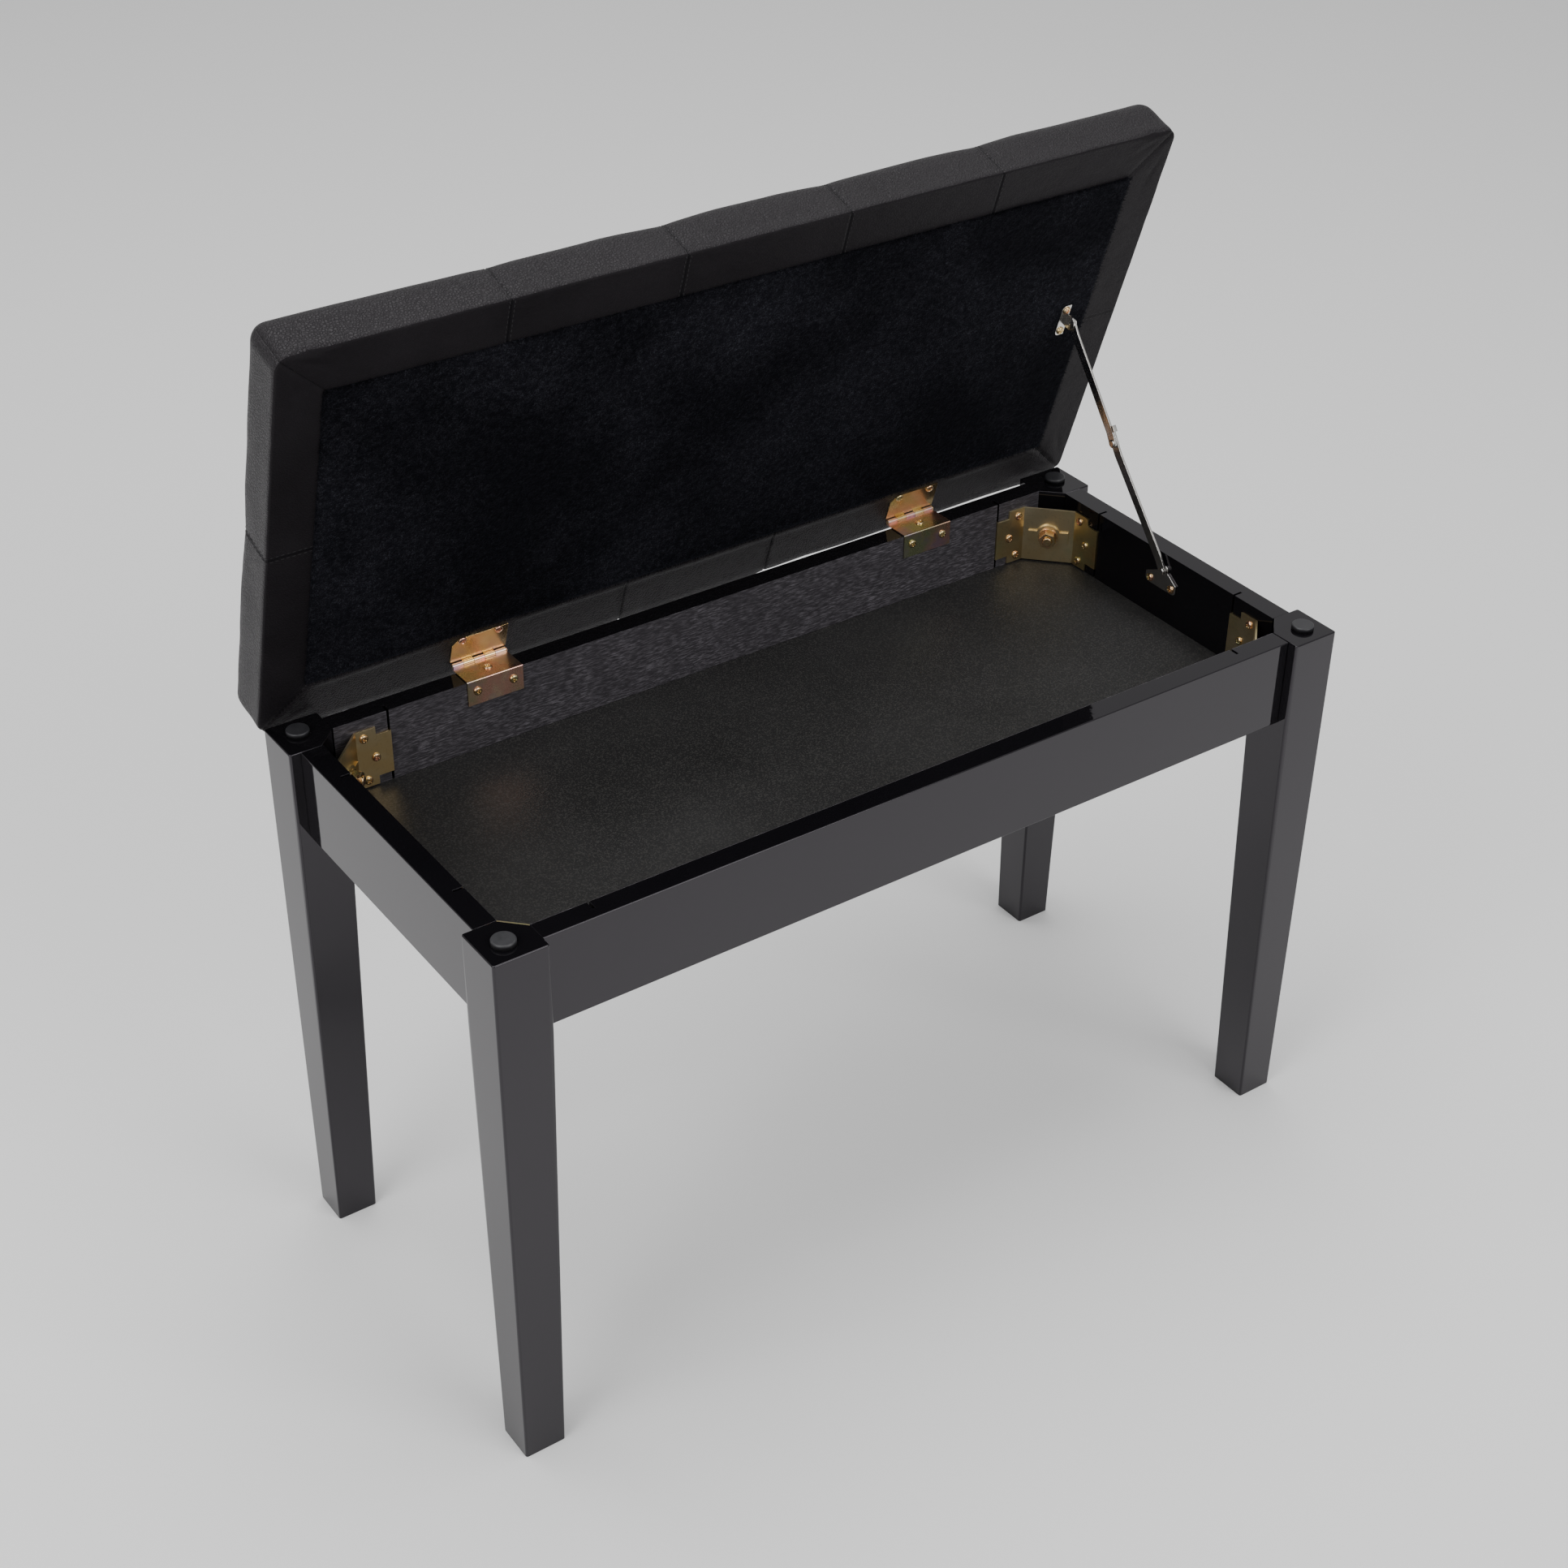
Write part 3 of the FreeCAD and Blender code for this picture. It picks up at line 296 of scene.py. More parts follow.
def blackLacquer(name, inside=None):
    # high gloss outside; the faces that look into the tray are only stained
    material, tree, shader, place = startMaterial(name, **{"IOR": 1.5, "Specular Tint": lacquer["tint"]})
    patches = mottled(tree, place, 9.0)
    scuffs = useGroup(tree, "scuffs", place, Scale=150.0, Stretch=5.0, Amount=0.5)["Mask"]
    worn = ramp(tree, patches, 0.35, 0.95, lacquer["roughness"], lacquer["roughness"] + 0.03)
    gloss = maths(tree, "MULTIPLY_ADD", scuffs, lacquer["rubbed"], worn)
    height = cloud(tree, place, 240.0, 1.0)
    colour = mixColour(tree, maths(tree, "MULTIPLY", patches, 0.3), lacquer["colour"], lacquer["hazed"])
    if inside:
        depth = addNode(tree, "ShaderNodeSeparateXYZ", {0: place}).outputs["Y"]
        over = maths(tree, "GREATER_THAN", depth, inside[0])
        under = maths(tree, "LESS_THAN", depth, inside[1])
        hidden = maths(tree, "MULTIPLY", over, under)
        pulled = mapped(tree, place, Scale=lacquer["grainPull"])
        grain = cloud(tree, pulled, lacquer["grainScale"], 6.0, 0.7)
        dust = mottled(tree, place, 38.0, 0.6)
        streaks = ramp(tree, grain, 0.46, 0.72)
        pale = maths(tree, "MULTIPLY", streaks, maths(tree, "MULTIPLY_ADD", dust, 0.6, 0.4))
        stained = mixColour(tree, pale, lacquer["railStain"], lacquer["railStainPale"])
        colour = mixColour(tree, hidden, colour, stained)
        gloss = maths(tree, "MULTIPLY_ADD", hidden, 0.5, gloss)
        rough = maths(tree, "MULTIPLY", grain, maths(tree, "MULTIPLY", hidden, lacquer["openGrain"]))
        height = maths(tree, "ADD", height, rough)
    dress(tree, shader, colour, gloss, height, 0.35, lacquer["orangePeel"])
    return material


tray = {"dark": (0.0115, 0.0112, 0.0112, 1), "light": (0.018, 0.0175, 0.0175, 1),
        "grain": (0.05, 0.048, 0.045, 1), "scratch": (0.055, 0.052, 0.05, 1), "roughness": (0.46, 0.6)}


def trayBoard():
    material, tree, shader, place = startMaterial("trayBoard", **{"IOR": 1.45})
    patches = mottled(tree, place, 7.0, 0.6)
    speckle = useGroup(tree, "speckle", place, Scale=750.0, Cover=0.45)
    scuffs = useGroup(tree, "scuffs", place, Scale=90.0, Stretch=4.0, Amount=0.5)["Mask"]
    base = mixColour(tree, patches, tray["dark"], tray["light"])
    grained = mixColour(tree, maths(tree, "MULTIPLY", speckle["Mask"], 0.55), base, tray["grain"])
    worn = mixColour(tree, maths(tree, "MULTIPLY", scuffs, 0.5), grained, tray["scratch"])
    dress(tree, shader, worn, ramp(tree, patches, 0.0, 1.0, *tray["roughness"]), speckle["Height"])
    return material


zinc = {"gold": (0.68, 0.5, 0.24, 1), "pale": (0.78, 0.68, 0.45, 1), "rose": (0.76, 0.42, 0.32, 1),
        "green": (0.42, 0.46, 0.26, 1), "violet": (0.4, 0.3, 0.42, 1), "smudge": (0.3, 0.24, 0.13, 1),
        "roughness": 0.16, "uneven": 0.16}


def platedSteel(name, patch, tintShift=(0, 0, 0), tints=("gold", "rose", "green"), dull=0.0):
    # yellow passivated zinc: gold that drifts to rose and green
    material, tree, shader, place = startMaterial(name, **{"Metallic": 1.0})
    moved = mapped(tree, place, Location=tintShift)
    broad, small = mottled(tree, moved, patch, 0.65), mottled(tree, moved, patch * 2.3)
    smudge = useGroup(tree, "speckle", moved, Scale=420.0, Cover=0.3)
    warm = mixColour(tree, ramp(tree, broad, 0.35, 0.85), zinc[tints[0]], zinc[tints[1]])
    cool = mixColour(tree, ramp(tree, small, 0.5, 0.85, 0.0, 0.75), warm, zinc[tints[2]])
    pale = mixColour(tree, ramp(tree, broad, 0.3, 0.05, 0.0, 0.5), cool, zinc["pale"])
    dulled = mixColour(tree, maths(tree, "MULTIPLY", smudge["Mask"], 0.12), pale, zinc["smudge"])
    smooth = zinc["roughness"] + dull
    dress(tree, shader, dulled, ramp(tree, small, 0.0, 1.0, smooth, smooth + zinc["uneven"]),
          smudge["Height"], 0.04, 0.0001)
    return material


nickel = {"dark": (0.56, 0.545, 0.52, 1), "light": (0.68, 0.665, 0.64, 1), "roughness": (0.16, 0.24)}


def nickelPlate():
    material, tree, shader, place = startMaterial("nickelPlate", **{"Metallic": 1.0})
    patches = mottled(tree, place, 120.0)
    scuffs = useGroup(tree, "scuffs", place, Scale=420.0, Stretch=3.0, Amount=1.0)["Mask"]
    gloss = maths(tree, "MULTIPLY_ADD", scuffs, 0.18, ramp(tree, patches, 0.0, 1.0, *nickel["roughness"]))
    dress(tree, shader, mixColour(tree, patches, nickel["dark"], nickel["light"]), gloss)
    return material


rubber = {"dark": (0.016, 0.016, 0.018, 1), "light": (0.028, 0.028, 0.031, 1), "roughness": (0.36, 0.5)}


def bumperRubber():
    material, tree, shader, place = startMaterial("bumperRubber", **{"IOR": 1.5})
    speckle = useGroup(tree, "speckle", place, Scale=1500.0, Cover=0.3)
    patches = mottled(tree, place, 180.0, 0.4)
    dress(tree, shader, mixColour(tree, patches, rubber["dark"], rubber["light"]),
          ramp(tree, patches, 0.0, 1.0, *rubber["roughness"]), speckle["Height"], 0.3, 0.0001)
    return material


coverLow, coverHigh = closedBox("seat_cover")
coverMiddle, coverHalf = (coverLow + coverHigh) / 2, (coverHigh - coverLow) / 2
leather = {"colour": (0.0065, 0.0055, 0.0065, 1), "worn": (0.012, 0.0105, 0.012, 1),
           "crease": (0.006, 0.0055, 0.0065, 1), "joint": (0.0015, 0.0015, 0.002, 1),
           "tint": (1.0, 0.95, 1.0, 1), "pebble": 470.0, "depth": 0.0005}


def seatLeather(name, specular, roughness, pebbleShare):
    material, tree, shader, place = startMaterial(name, **{"Specular IOR Level": specular,
                                                           "Specular Tint": leather["tint"]})
    seam = addNode(tree, "ShaderNodeAttribute", attribute_name="seam").outputs["Fac"]
    pebble = useGroup(tree, "pebble", place, Scale=leather["pebble"], Crease=0.7)
    patches = mottled(tree, place, 16.0)
    base = mixColour(tree, patches, leather["colour"], leather["worn"])
    creased = mixColour(tree, maths(tree, "MULTIPLY", pebble["Creases"], 0.6), base, leather["crease"])
    closed = mapped(tree, place, Rotation=(openAngle, 0, 0), Location=unfold.translation - coverMiddle)
    mitre = useGroup(tree, "mitre", closed, **{"Half Width": coverHalf.x, "Half Depth": coverHalf.y})["Mask"]
    joint = maths(tree, "MULTIPLY", maths(tree, "MAXIMUM", seam, mitre), 0.85)
    gloss = maths(tree, "MULTIPLY_ADD", pebble["Creases"], 0.14,
                  ramp(tree, patches, 0.0, 1.0, roughness, roughness + 0.1))
    height = maths(tree, "MULTIPLY_ADD", cloud(tree, place, 95.0, 3.0), 1.2,
                   maths(tree, "MULTIPLY", pebble["Height"], pebbleShare))
    dress(tree, shader, mixColour(tree, joint, creased, leather["joint"]), gloss,
          maths(tree, "MULTIPLY_ADD", mitre, -1.5, height), 0.6, leather["depth"])
    return material


velvet = {"deep": (0.001, 0.001, 0.0015, 1), "lit": (0.0045, 0.0045, 0.0062, 1),
          "nap": (0.044, 0.044, 0.054, 1), "sheenTint": (0.6, 0.65, 0.85, 1)}


def velvetPile():
    material, tree, shader, place = startMaterial(
        "velvetPile", **{"Specular IOR Level": 0.03, "Sheen Weight": 0.04, "Sheen Roughness": 0.4,
                         "Sheen Tint": velvet["sheenTint"], "Roughness": 0.95})
    lay = mottled(tree, place, 8.0, 0.7)
    clump, tuft = cloud(tree, place, 240.0, 4.0, 0.7), cloud(tree, place, 900.0, 3.0, 0.8)
    base = mixColour(tree, ramp(tree, lay, 0.3, 1.0), velvet["deep"], velvet["lit"])
    patchy = maths(tree, "MULTIPLY", ramp(tree, clump, 0.38, 0.66), ramp(tree, lay, 0.1, 0.9, 0.3, 1.0))
    streaked = maths(tree, "MULTIPLY", ramp(tree, tuft, 0.44, 0.68), patchy)
    dress(tree, shader, mixColour(tree, streaked, base, velvet["nap"]), None,
          maths(tree, "MULTIPLY_ADD", clump, 2.0, tuft), 0.9, 0.0006)
    return material


thread = {"dark": (0.006, 0.006, 0.007, 1), "light": (0.02, 0.02, 0.022, 1), "roughness": (0.52, 0.68)}


def blackThread():
    material, tree, shader, place = startMaterial("blackThread")
    speckle = useGroup(tree, "speckle", place, Scale=3000.0, Cover=0.5)
    patches = mottled(tree, place, 150.0)
    base = mixColour(tree, patches, thread["dark"], thread["light"])
    dress(tree, shader, mixColour(tree, maths(tree, "MULTIPLY", speckle["Mask"], 0.4), base, thread["dark"]),
          ramp(tree, patches, 0.0, 1.0, *thread["roughness"]), speckle["Height"], 0.5, 0.0001)
    return material


plywood = {"dark": (0.33, 0.22, 0.12, 1), "light": (0.56, 0.42, 0.26, 1), "stain": (0.4, 0.28, 0.16, 1),
           "grainPull": (0.05, 1.0, 1.0), "roughness": (0.5, 0.7)}


def lidPlywood():
    material, tree, shader, place = startMaterial("lidPlywood")
    grain = cloud(tree, mapped(tree, place, Scale=plywood["grainPull"]), 320.0, 5.0)
    base = mixColour(tree, grain, plywood["dark"], plywood["light"])
    stained = maths(tree, "MULTIPLY", mottled(tree, place, 9.0), 0.3)
    dress(tree, shader, mixColour(tree, stained, base, plywood["stain"]),
          ramp(tree, grain, 0.3, 0.7, *plywood["roughness"]), grain, 0.3)
    return material


trayFront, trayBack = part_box("rail_front")[1].y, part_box("rail_rear")[0].y
finish = {
    "leg": blackLacquer("blackLacquer"),
    "rail": blackLacquer("blackLacquerStained", (trayFront - 0.4 * mm, trayBack + 0.4 * mm)),
    "tray": trayBoard(),
    "bracket": platedSteel("yellowZincBracket", 9.0, (0.3, 0.1, 0), ("gold", "pale", "green"), 0.1),
    "hingeLid": platedSteel("yellowZincHingeTop", 11.0, (0, 0.4, 0), ("gold", "rose", "pale")),
    "hingeRail": platedSteel("yellowZincHingeSide", 26.0, (0.9, 0, 0), ("rose", "green", "violet"), 0.04),
    "screw": platedSteel("yellowZincScrew", 60.0),
    "nickel": nickelPlate(),
    "rubber": bumperRubber(),
    "leather": seatLeather("seatLeather", 0.3, 0.34, 1.2),
    "leatherUnder": seatLeather("seatLeatherStretched", 0.1, 0.4, 0.3),
    "velvet": velvetPile(),
    "thread": blackThread(),
    "plywood": lidPlywood(),
}
print("finishes made")


# hard parts: the CAD solids with broken edges and clean shading

def softened(name, width, material, slotName):
    # a copy with its doubles merged and its sharp edges bevelled
    source = nodes[name]
    mesh = source.data.copy()
    mesh.materials.clear()
    edit = bmesh.new()
    edit.from_mesh(mesh)
    bmesh.ops.remove_doubles(edit, verts=edit.verts, dist=0.002 * mm)
    bmesh.ops.dissolve_limit(edit, angle_limit=math.radians(0.6), verts=edit.verts, edges=edit.edges)
    bmesh.ops.recalc_face_normals(edit, faces=edit.faces)
    for face in edit.faces:
        face.smooth = True
    edit.to_mesh(mesh)
    edit.free()
    item = addObject(pieceName(name), mesh, material)
    if width:
        bevel = item.modifiers.new("brokenEdges", "BEVEL")
        bevel.width = width
        bevel.segments = 2
        bevel.limit_method = "ANGLE"
        bevel.angle_limit = math.radians(40)
        bevel.harden_normals = True
    flat = item.modifiers.new("flatFaces", "WEIGHTED_NORMAL")
    flat.keep_sharp = True
    settle(item)
    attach(item, source["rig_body"])
    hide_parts(name)
    return item


brokenEdges = {"lacquer": 0.35 * mm, "sheet": 0.22 * mm, "fastener": 0.3 * mm, "arm": 0.25 * mm, "none": 0}
for starts, edge, finishName, slotName in (
        (("leg_", "rail_left", "rail_right"), "lacquer", "leg", "black_lacquer"),
        (("rail_front", "rail_rear"), "lacquer", "rail", "black_lacquer"),
        (("corner_bracket_front", "corner_bracket_rear"), "sheet", "bracket", "yellow_zinc"),
        (("hinge_rail_leaf",), "sheet", "hingeRail", "yellow_zinc"),
        (("hinge_lid_leaf",), "sheet", "hingeLid", "yellow_zinc"),
        (("hinge_pin", "hanger_"), "fastener", "screw", "yellow_zinc"),
        (("stay_lower_arm", "stay_upper_arm", "stay_rail_bracket", "stay_lid_bracket"), "arm",
         "nickel", "nickel"),
        (("stay_rail_rivet", "stay_lid_rivet", "stay_elbow"), "none", "nickel", "nickel"),
        (("lid_bumpers",), "none", "rubber", "bumper_rubber")):
    for name in sorted(node for node in nodes if node.startswith(starts)):
        softened(name, brokenEdges[edge], finish[finishName], slotName)
trayFloor = nodes["tray_floor"].data
trayFloor.materials.clear()
trayFloor.materials.append(finish["tray"])


board = {"smaller": 6 * mm, "thinner": 0.8}


def shrunkenBoard():
    # the same board, a little smaller all round so that the leather's grooves clear it
    low, high = closedBox("lid_board")
    middle = (low + high) / 2
    mesh = nodes["lid_board"].data.copy()
    mesh.materials.clear()
    mesh.transform(unfold)
    share = [1 - board["smaller"] / (high[i] - low[i]) for i in range(2)] + [board["thinner"]]
    for vertex in mesh.vertices:
        vertex.co = middle + Vector([(vertex.co[i] - middle[i]) * share[i] for i in range(3)])
    mesh.transform(foldOpen)
    item = addObject("lidBoard", mesh, finish["plywood"])
    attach(item, "lid")
    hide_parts("lid_board")


shrunkenBoard()
print("hard parts made")


# screws: one pan head with a cross recess, set on points by Geometry Nodes
screwSize = {
    "headRadius": 3.5 * mm,
    "headHeight": 1.9 * mm,
    "rim": 0.55 * mm,  # straight part of the head
    "crossHalfWidth": 0.42 * mm,
    "crossReach": 1.75 * mm,
    "crossDepth": 1.0 * mm,
    "length": 14.0 * mm,
    "shankRadius": 1.6 * mm,
}


def screwMesh():
    half, reach = screwSize["crossHalfWidth"], screwSize["crossReach"]
    radius, height, rim = screwSize["headRadius"], screwSize["headHeight"], screwSize["rim"]
    side = [0, half * 0.7, half * 1.25, reach * 0.62, reach * 0.88, reach * 1.08, radius * 0.72,
            radius * 0.9, radius]
    lines = [-value for value in side[:0:-1]] + side
    edit = bmesh.new()
    grid = []
    for a in lines:
        row = []
        for b in lines:
            outer = max(abs(a), abs(b))
            spot = Vector((a, b, 0))
            if outer > 0:
                blend = min(1, max(0, (outer / radius - 0.45) / 0.35))
                spot = spot.lerp(spot * (outer / spot.length), blend)
            share = min(1, spot.length / radius)
            spot.z = rim + (height - rim) * math.sqrt(max(0, 1 - share ** 2.6))
            if min(abs(a), abs(b)) <= half and outer <= reach:
                spot.z -= screwSize["crossDepth"] * (1 - 0.55 * outer / reach)
            row.append(edit.verts.new(spot))
        grid.append(row)
    count = len(lines)
    for i in range(count - 1):
        for j in range(count - 1):
            edit.faces.new((grid[i][j], grid[i + 1][j], grid[i + 1][j + 1], grid[i][j + 1]))
    rimEdges = [edge for edge in edit.edges if edge.is_boundary]
    skirt = bmesh.ops.extrude_edge_only(edit, edges=rimEdges)["geom"]
    for vertex in (item for item in skirt if isinstance(item, bmesh.types.BMVert)):
        vertex.co.z = 0
    bmesh.ops.holes_fill(edit, edges=[edge for edge in edit.edges if edge.is_boundary])
    shank = bmesh.ops.create_cone(edit, cap_ends=True, segments=8, radius1=0.2 * mm,
                                  radius2=screwSize["shankRadius"], depth=screwSize["length"] - 0.4 * mm)
    bmesh.ops.translate(edit, verts=shank["verts"], vec=(0, 0, -screwSize["length"] / 2 - 0.1 * mm))
    mesh = finishedMesh(edit, "panHeadScrew")
    mesh.set_sharp_from_angle(angle=math.radians(38))
    return mesh


def geometryTree(name, inputs):
    tree = bpy.data.node_groups.new(name, "GeometryNodeTree")
    tree.interface.new_socket("Geometry", in_out="INPUT", socket_type="NodeSocketGeometry")
    tree.interface.new_socket("Geometry", in_out="OUTPUT", socket_type="NodeSocketGeometry")
    for label, kind in inputs:
        tree.interface.new_socket(label, in_out="INPUT", socket_type="NodeSocket" + kind)
    return tree, tree.nodes.new("NodeGroupInput").outputs, tree.nodes.new("NodeGroupOutput").inputs


def endTree(tree, start, end, placed):
    real = addNode(tree, "GeometryNodeRealizeInstances", {"Geometry": placed.outputs[0]})
    coated = addNode(tree, "GeometryNodeSetMaterial", {"Geometry": real.outputs[0],
                                                       "Material": start["Material"]}).outputs[0]
    link(tree, coated, end[0])
    return tree


def evenCurve(tree, start):
    # the edge line as points at an even spacing
    curve = addNode(tree, "GeometryNodeMeshToCurve", {"Mesh": start["Geometry"]})
    return addNode(tree, "GeometryNodeResampleCurve", {"Curve": curve.outputs[0],
                                                       "Length": start["Spacing"]}, mode="LENGTH")


def named(tree, label, kind):
    return addNode(tree, "GeometryNodeInputNamedAttribute", {"Name": label},
                   data_type=kind).outputs["Attribute"]


def aimedAlong(tree, direction):
    return addNode(tree, "FunctionNodeAlignRotationToVector", {"Vector": direction}, axis="Z").outputs[0]


def setInput(modifier, label, value):
    for socket in modifier.node_group.interface.items_tree:
        if socket.name == label and socket.in_out == "INPUT":
            modifier[socket.identifier] = value


def applyTree(item, tree, **values):
    modifier = item.modifiers.new(tree.name, "NODES")
    modifier.node_group = tree
    for label, value in values.items():
        setInput(modifier, label, value)
    return settle(item)


def facingTree():
    # copies of a template on points; each point's facing and turn attributes aim it
    tree, start, end = geometryTree("setOnPoints", [("Template", "Object"), ("Material", "Material")])
    aimed = aimedAlong(tree, named(tree, "facing", "FLOAT_VECTOR"))
    twist = addNode(tree, "FunctionNodeAxisAngleToRotation",
                    {"Axis": (0, 0, 1), "Angle": named(tree, "turn", "FLOAT")}).outputs[0]
    turned = addNode(tree, "FunctionNodeRotateRotation", {"Rotation": aimed, "Rotate By": twist},
                     rotation_space="LOCAL").outputs[0]
    shape = addNode(tree, "GeometryNodeObjectInfo", {"Object": start["Template"]})
    placed = addNode(tree, "GeometryNodeInstanceOnPoints",
                     {"Points": start["Geometry"], "Instance": shape.outputs["Geometry"],
                      "Rotation": turned})
    return endTree(tree, start, end, placed)


def islands(name):
    # the separate solids of a CAD node, each as a list of points
    edit = bmesh.new()
    edit.from_mesh(nodes[name].data)
    bmesh.ops.remove_doubles(edit, verts=edit.verts, dist=0.002 * mm)
    waiting = set(edit.verts)
    found = []
    while waiting:
        edge = [waiting.pop()]
        piece = []
        while edge:
            vertex = edge.pop()
            piece.append(vertex.co.copy())
            for other in (e.other_vert(vertex) for e in vertex.link_edges):
                if other in waiting:
                    waiting.remove(other)
                    edge.append(other)
        found.append(piece)
    edit.free()
    return sorted(found, key=lambda piece: tuple(round(c, 5) for c in sum(piece, Vector()) / len(piece)))


def pointCloud(name, places):
    # places are (point, facing, turn)
    mesh = bpy.data.meshes.new(name)
    mesh.from_pydata([place[0] for place in places], [], [])
    mesh.attributes.new("facing", "FLOAT_VECTOR", "POINT")
    mesh.attributes.new("turn", "FLOAT", "POINT")
    for i, (_, direction, angle) in enumerate(places):
        mesh.attributes["facing"].data[i].vector = direction
        mesh.attributes["turn"].data[i].value = angle
    return addObject(name, mesh)


screwTemplate = addObject("screwTemplate", screwMesh())
setOnPoints = facingTree()
for name, slotName in (("corner_bracket_screws", "yellow_zinc"), ("hinge_rail_screws", "yellow_zinc"),
                       ("hinge_lid_screws", "yellow_zinc"), ("stay_rail_screws", "nickel"),
                       ("stay_lid_screws", "nickel")):
    places = []
    for i, piece in enumerate(islands(name)):
        middle = sum(piece, Vector()) / len(piece)
        tip = max(piece, key=lambda point: (point - middle).length)
        along = (middle - tip).normalized()
        places.append((tip + along * screwSize["length"], along, 0.9 * i * i + 0.35 * i))
    screws = pointCloud(pieceName(name), places)
    applyTree(screws, setOnPoints, Template=screwTemplate, Material=finish["screw"])
    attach(screws, nodes[name]["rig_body"])
    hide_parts(name)
print("screws set")


# seat cover: quilted leather wrapped round the board, drawn as a rounded box
liningLow, liningHigh = closedBox("lid_lining")
cover = {
    "cornerRound": 13 * mm,
    "topRound": 13 * mm,
    "ridgeRound": 2.2 * mm,  # crisp fold between side and underside
    "gathered": 4.5 * mm,  # softer fold beside the free corners
    "gatheredFrom": 60 * mm,
    "gatheredAt": 26 * mm,
    "gatheredWidth": 17 * mm,
    "cornerZone": 46 * mm,
    "cornerStep": 2.3 * mm,
    "panels": 5,
    "panelWidth": 139 * mm,  # the three middle panels
    "step": 5.5 * mm,
    "topDip": 3.8 * mm,
    "topDipWidth": 13 * mm,
    "rimDip": 0.15 * mm,
    "sideDip": 0.5 * mm,
    "sideDipWidth": 7 * mm,
    "groove": 0.6 * mm,
    "grooveWidth": 0.9 * mm,
    "crown": 3.2 * mm,
    "rimCrown": 0.7 * mm,
    "rimWidth": 45 * mm,
    "rimHeight": 13 * mm,  # the side is padded from here up
    "rimBlend": 10 * mm,
    "wave": 0.7 * mm,
    "ripple": 0.22 * mm,
    "creaseDepth": 0.9 * mm,  # of the folded mitres
    "creaseWidth": 1.7 * mm,
    "creaseZone": 60 * mm,
    "puckerDepth": 0.55 * mm,
    "puckerWidth": 2.4 * mm,
    "puckerAngles": (14, 24, 66),
    "deepest": 0.95 * mm,  # beside the board
    "backSag": 5.8 * mm,  # slack leather below the hinge side
    "sagHeight": 26 * mm,
    "sagEnds": 40 * mm,
    "tighterFrom": 60 * mm,  # to the right of here it hangs less
    "tighterOver": 50 * mm,
    "tighterBy": 0.42,
    "bead": 1.5 * mm,  # along the lining's hinge side
    "beadWidth": 3.2 * mm,
    "windowLap": 9 * mm,
    "windowRise": 1.3 * mm,
}
leaves = [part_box("hinge_lid_leaf_" + side) for side in ("left", "right")]
leafMiddles = [(low.x + high.x) / 2 for low, high in leaves]
leafHalf = (leaves[0][1].x - leaves[0][0].x) / 2
crossSeams = [cover["panelWidth"] * (k + 1 - cover["panels"] / 2) for k in range(cover["panels"] - 1)]
seamY = coverMiddle.y
seamOffsets = [0, 0.55 * mm, 1.1 * mm, 2.0 * mm, 3.4 * mm]
roundShares = [0.04, 0.16, 0.34, 0.56, 0.78, 1.0]


def gridLines(low, high, seams, roundLow, roundHigh, step, fine=False):
    # close together at seams and round corners, wider between
    fixed = {low, high}
    for share in roundShares:
        fixed |= {low + roundLow * share, high - roundHigh * share}
    for seam in seams:
        for offset in seamOffsets:
            fixed |= {seam + offset, seam - offset}
    if fine:
        for k in range(1, round(cover["cornerZone"] / cover["cornerStep"])):
            fixed |= {low + k * cover["cornerStep"], high - k * cover["cornerStep"]}
    first, *others = sorted(fixed)
    lines = [first]
    for value in others:
        start, gap = lines[-1], value - lines[-1]
        if gap >= 0.05 * mm:
            pieces = max(1, math.ceil(gap / step))
            lines += [start + gap * k / pieces for k in range(1, pieces + 1)]
    return lines


def bump(distance, width):
    return math.exp(-(distance / width) ** 2)


def roundedPoint(point, low, high, rounds, topRound, bottomRound):
    # a point on the sharp box, moved on to the box with rounded edges; also its normal
    flat = Vector((point.x, point.y))
    core = Vector([min(max(flat[i], low[i] + rounds), high[i] - rounds) for i in range(2)])
    gap = flat - core
    inset = min(min(flat[i] - low[i], high[i] - flat[i]) for i in range(2))
    if gap.length > 0:
        outward = gap.normalized()
        flat = core + outward * max(abs(gap.x), abs(gap.y))
    else:
        outward = Vector((0, 0))
    rise, fall = point.z - low.z, high.z - point.z
    radius, level, sign = (bottomRound, rise, -1) if rise < fall else (topRound, fall, 1)
    lean = Vector((max(0, radius - inset), max(0, radius - level)))
    if lean.length == 0:
        return Vector((flat.x, flat.y, point.z)), Vector((0, 0, sign))
    lean.normalize()
    if inset < radius and level < radius:
        flat += outward * (inset - radius * (1 - lean.x))
        height = (low.z if sign < 0 else high.z) - sign * radius * (1 - lean.y)
    else:
        height = point.z
    return Vector((flat.x, flat.y, height)), Vector((outward.x * lean.x, outward.y * lean.x, sign * lean.y))


def ridgeRadius(point):
    # the fold is crisp except beside the two free corners, where the leather is gathered
    if point.y > coverLow.y + cover["gatheredFrom"]:
        return cover["ridgeRound"]
    fromEnd = min(point.x - coverLow.x, coverHigh.x - point.x)
    softer = cover["gathered"] * bump(fromEnd - cover["gatheredAt"], cover["gatheredWidth"])
    return cover["ridgeRound"] + softer


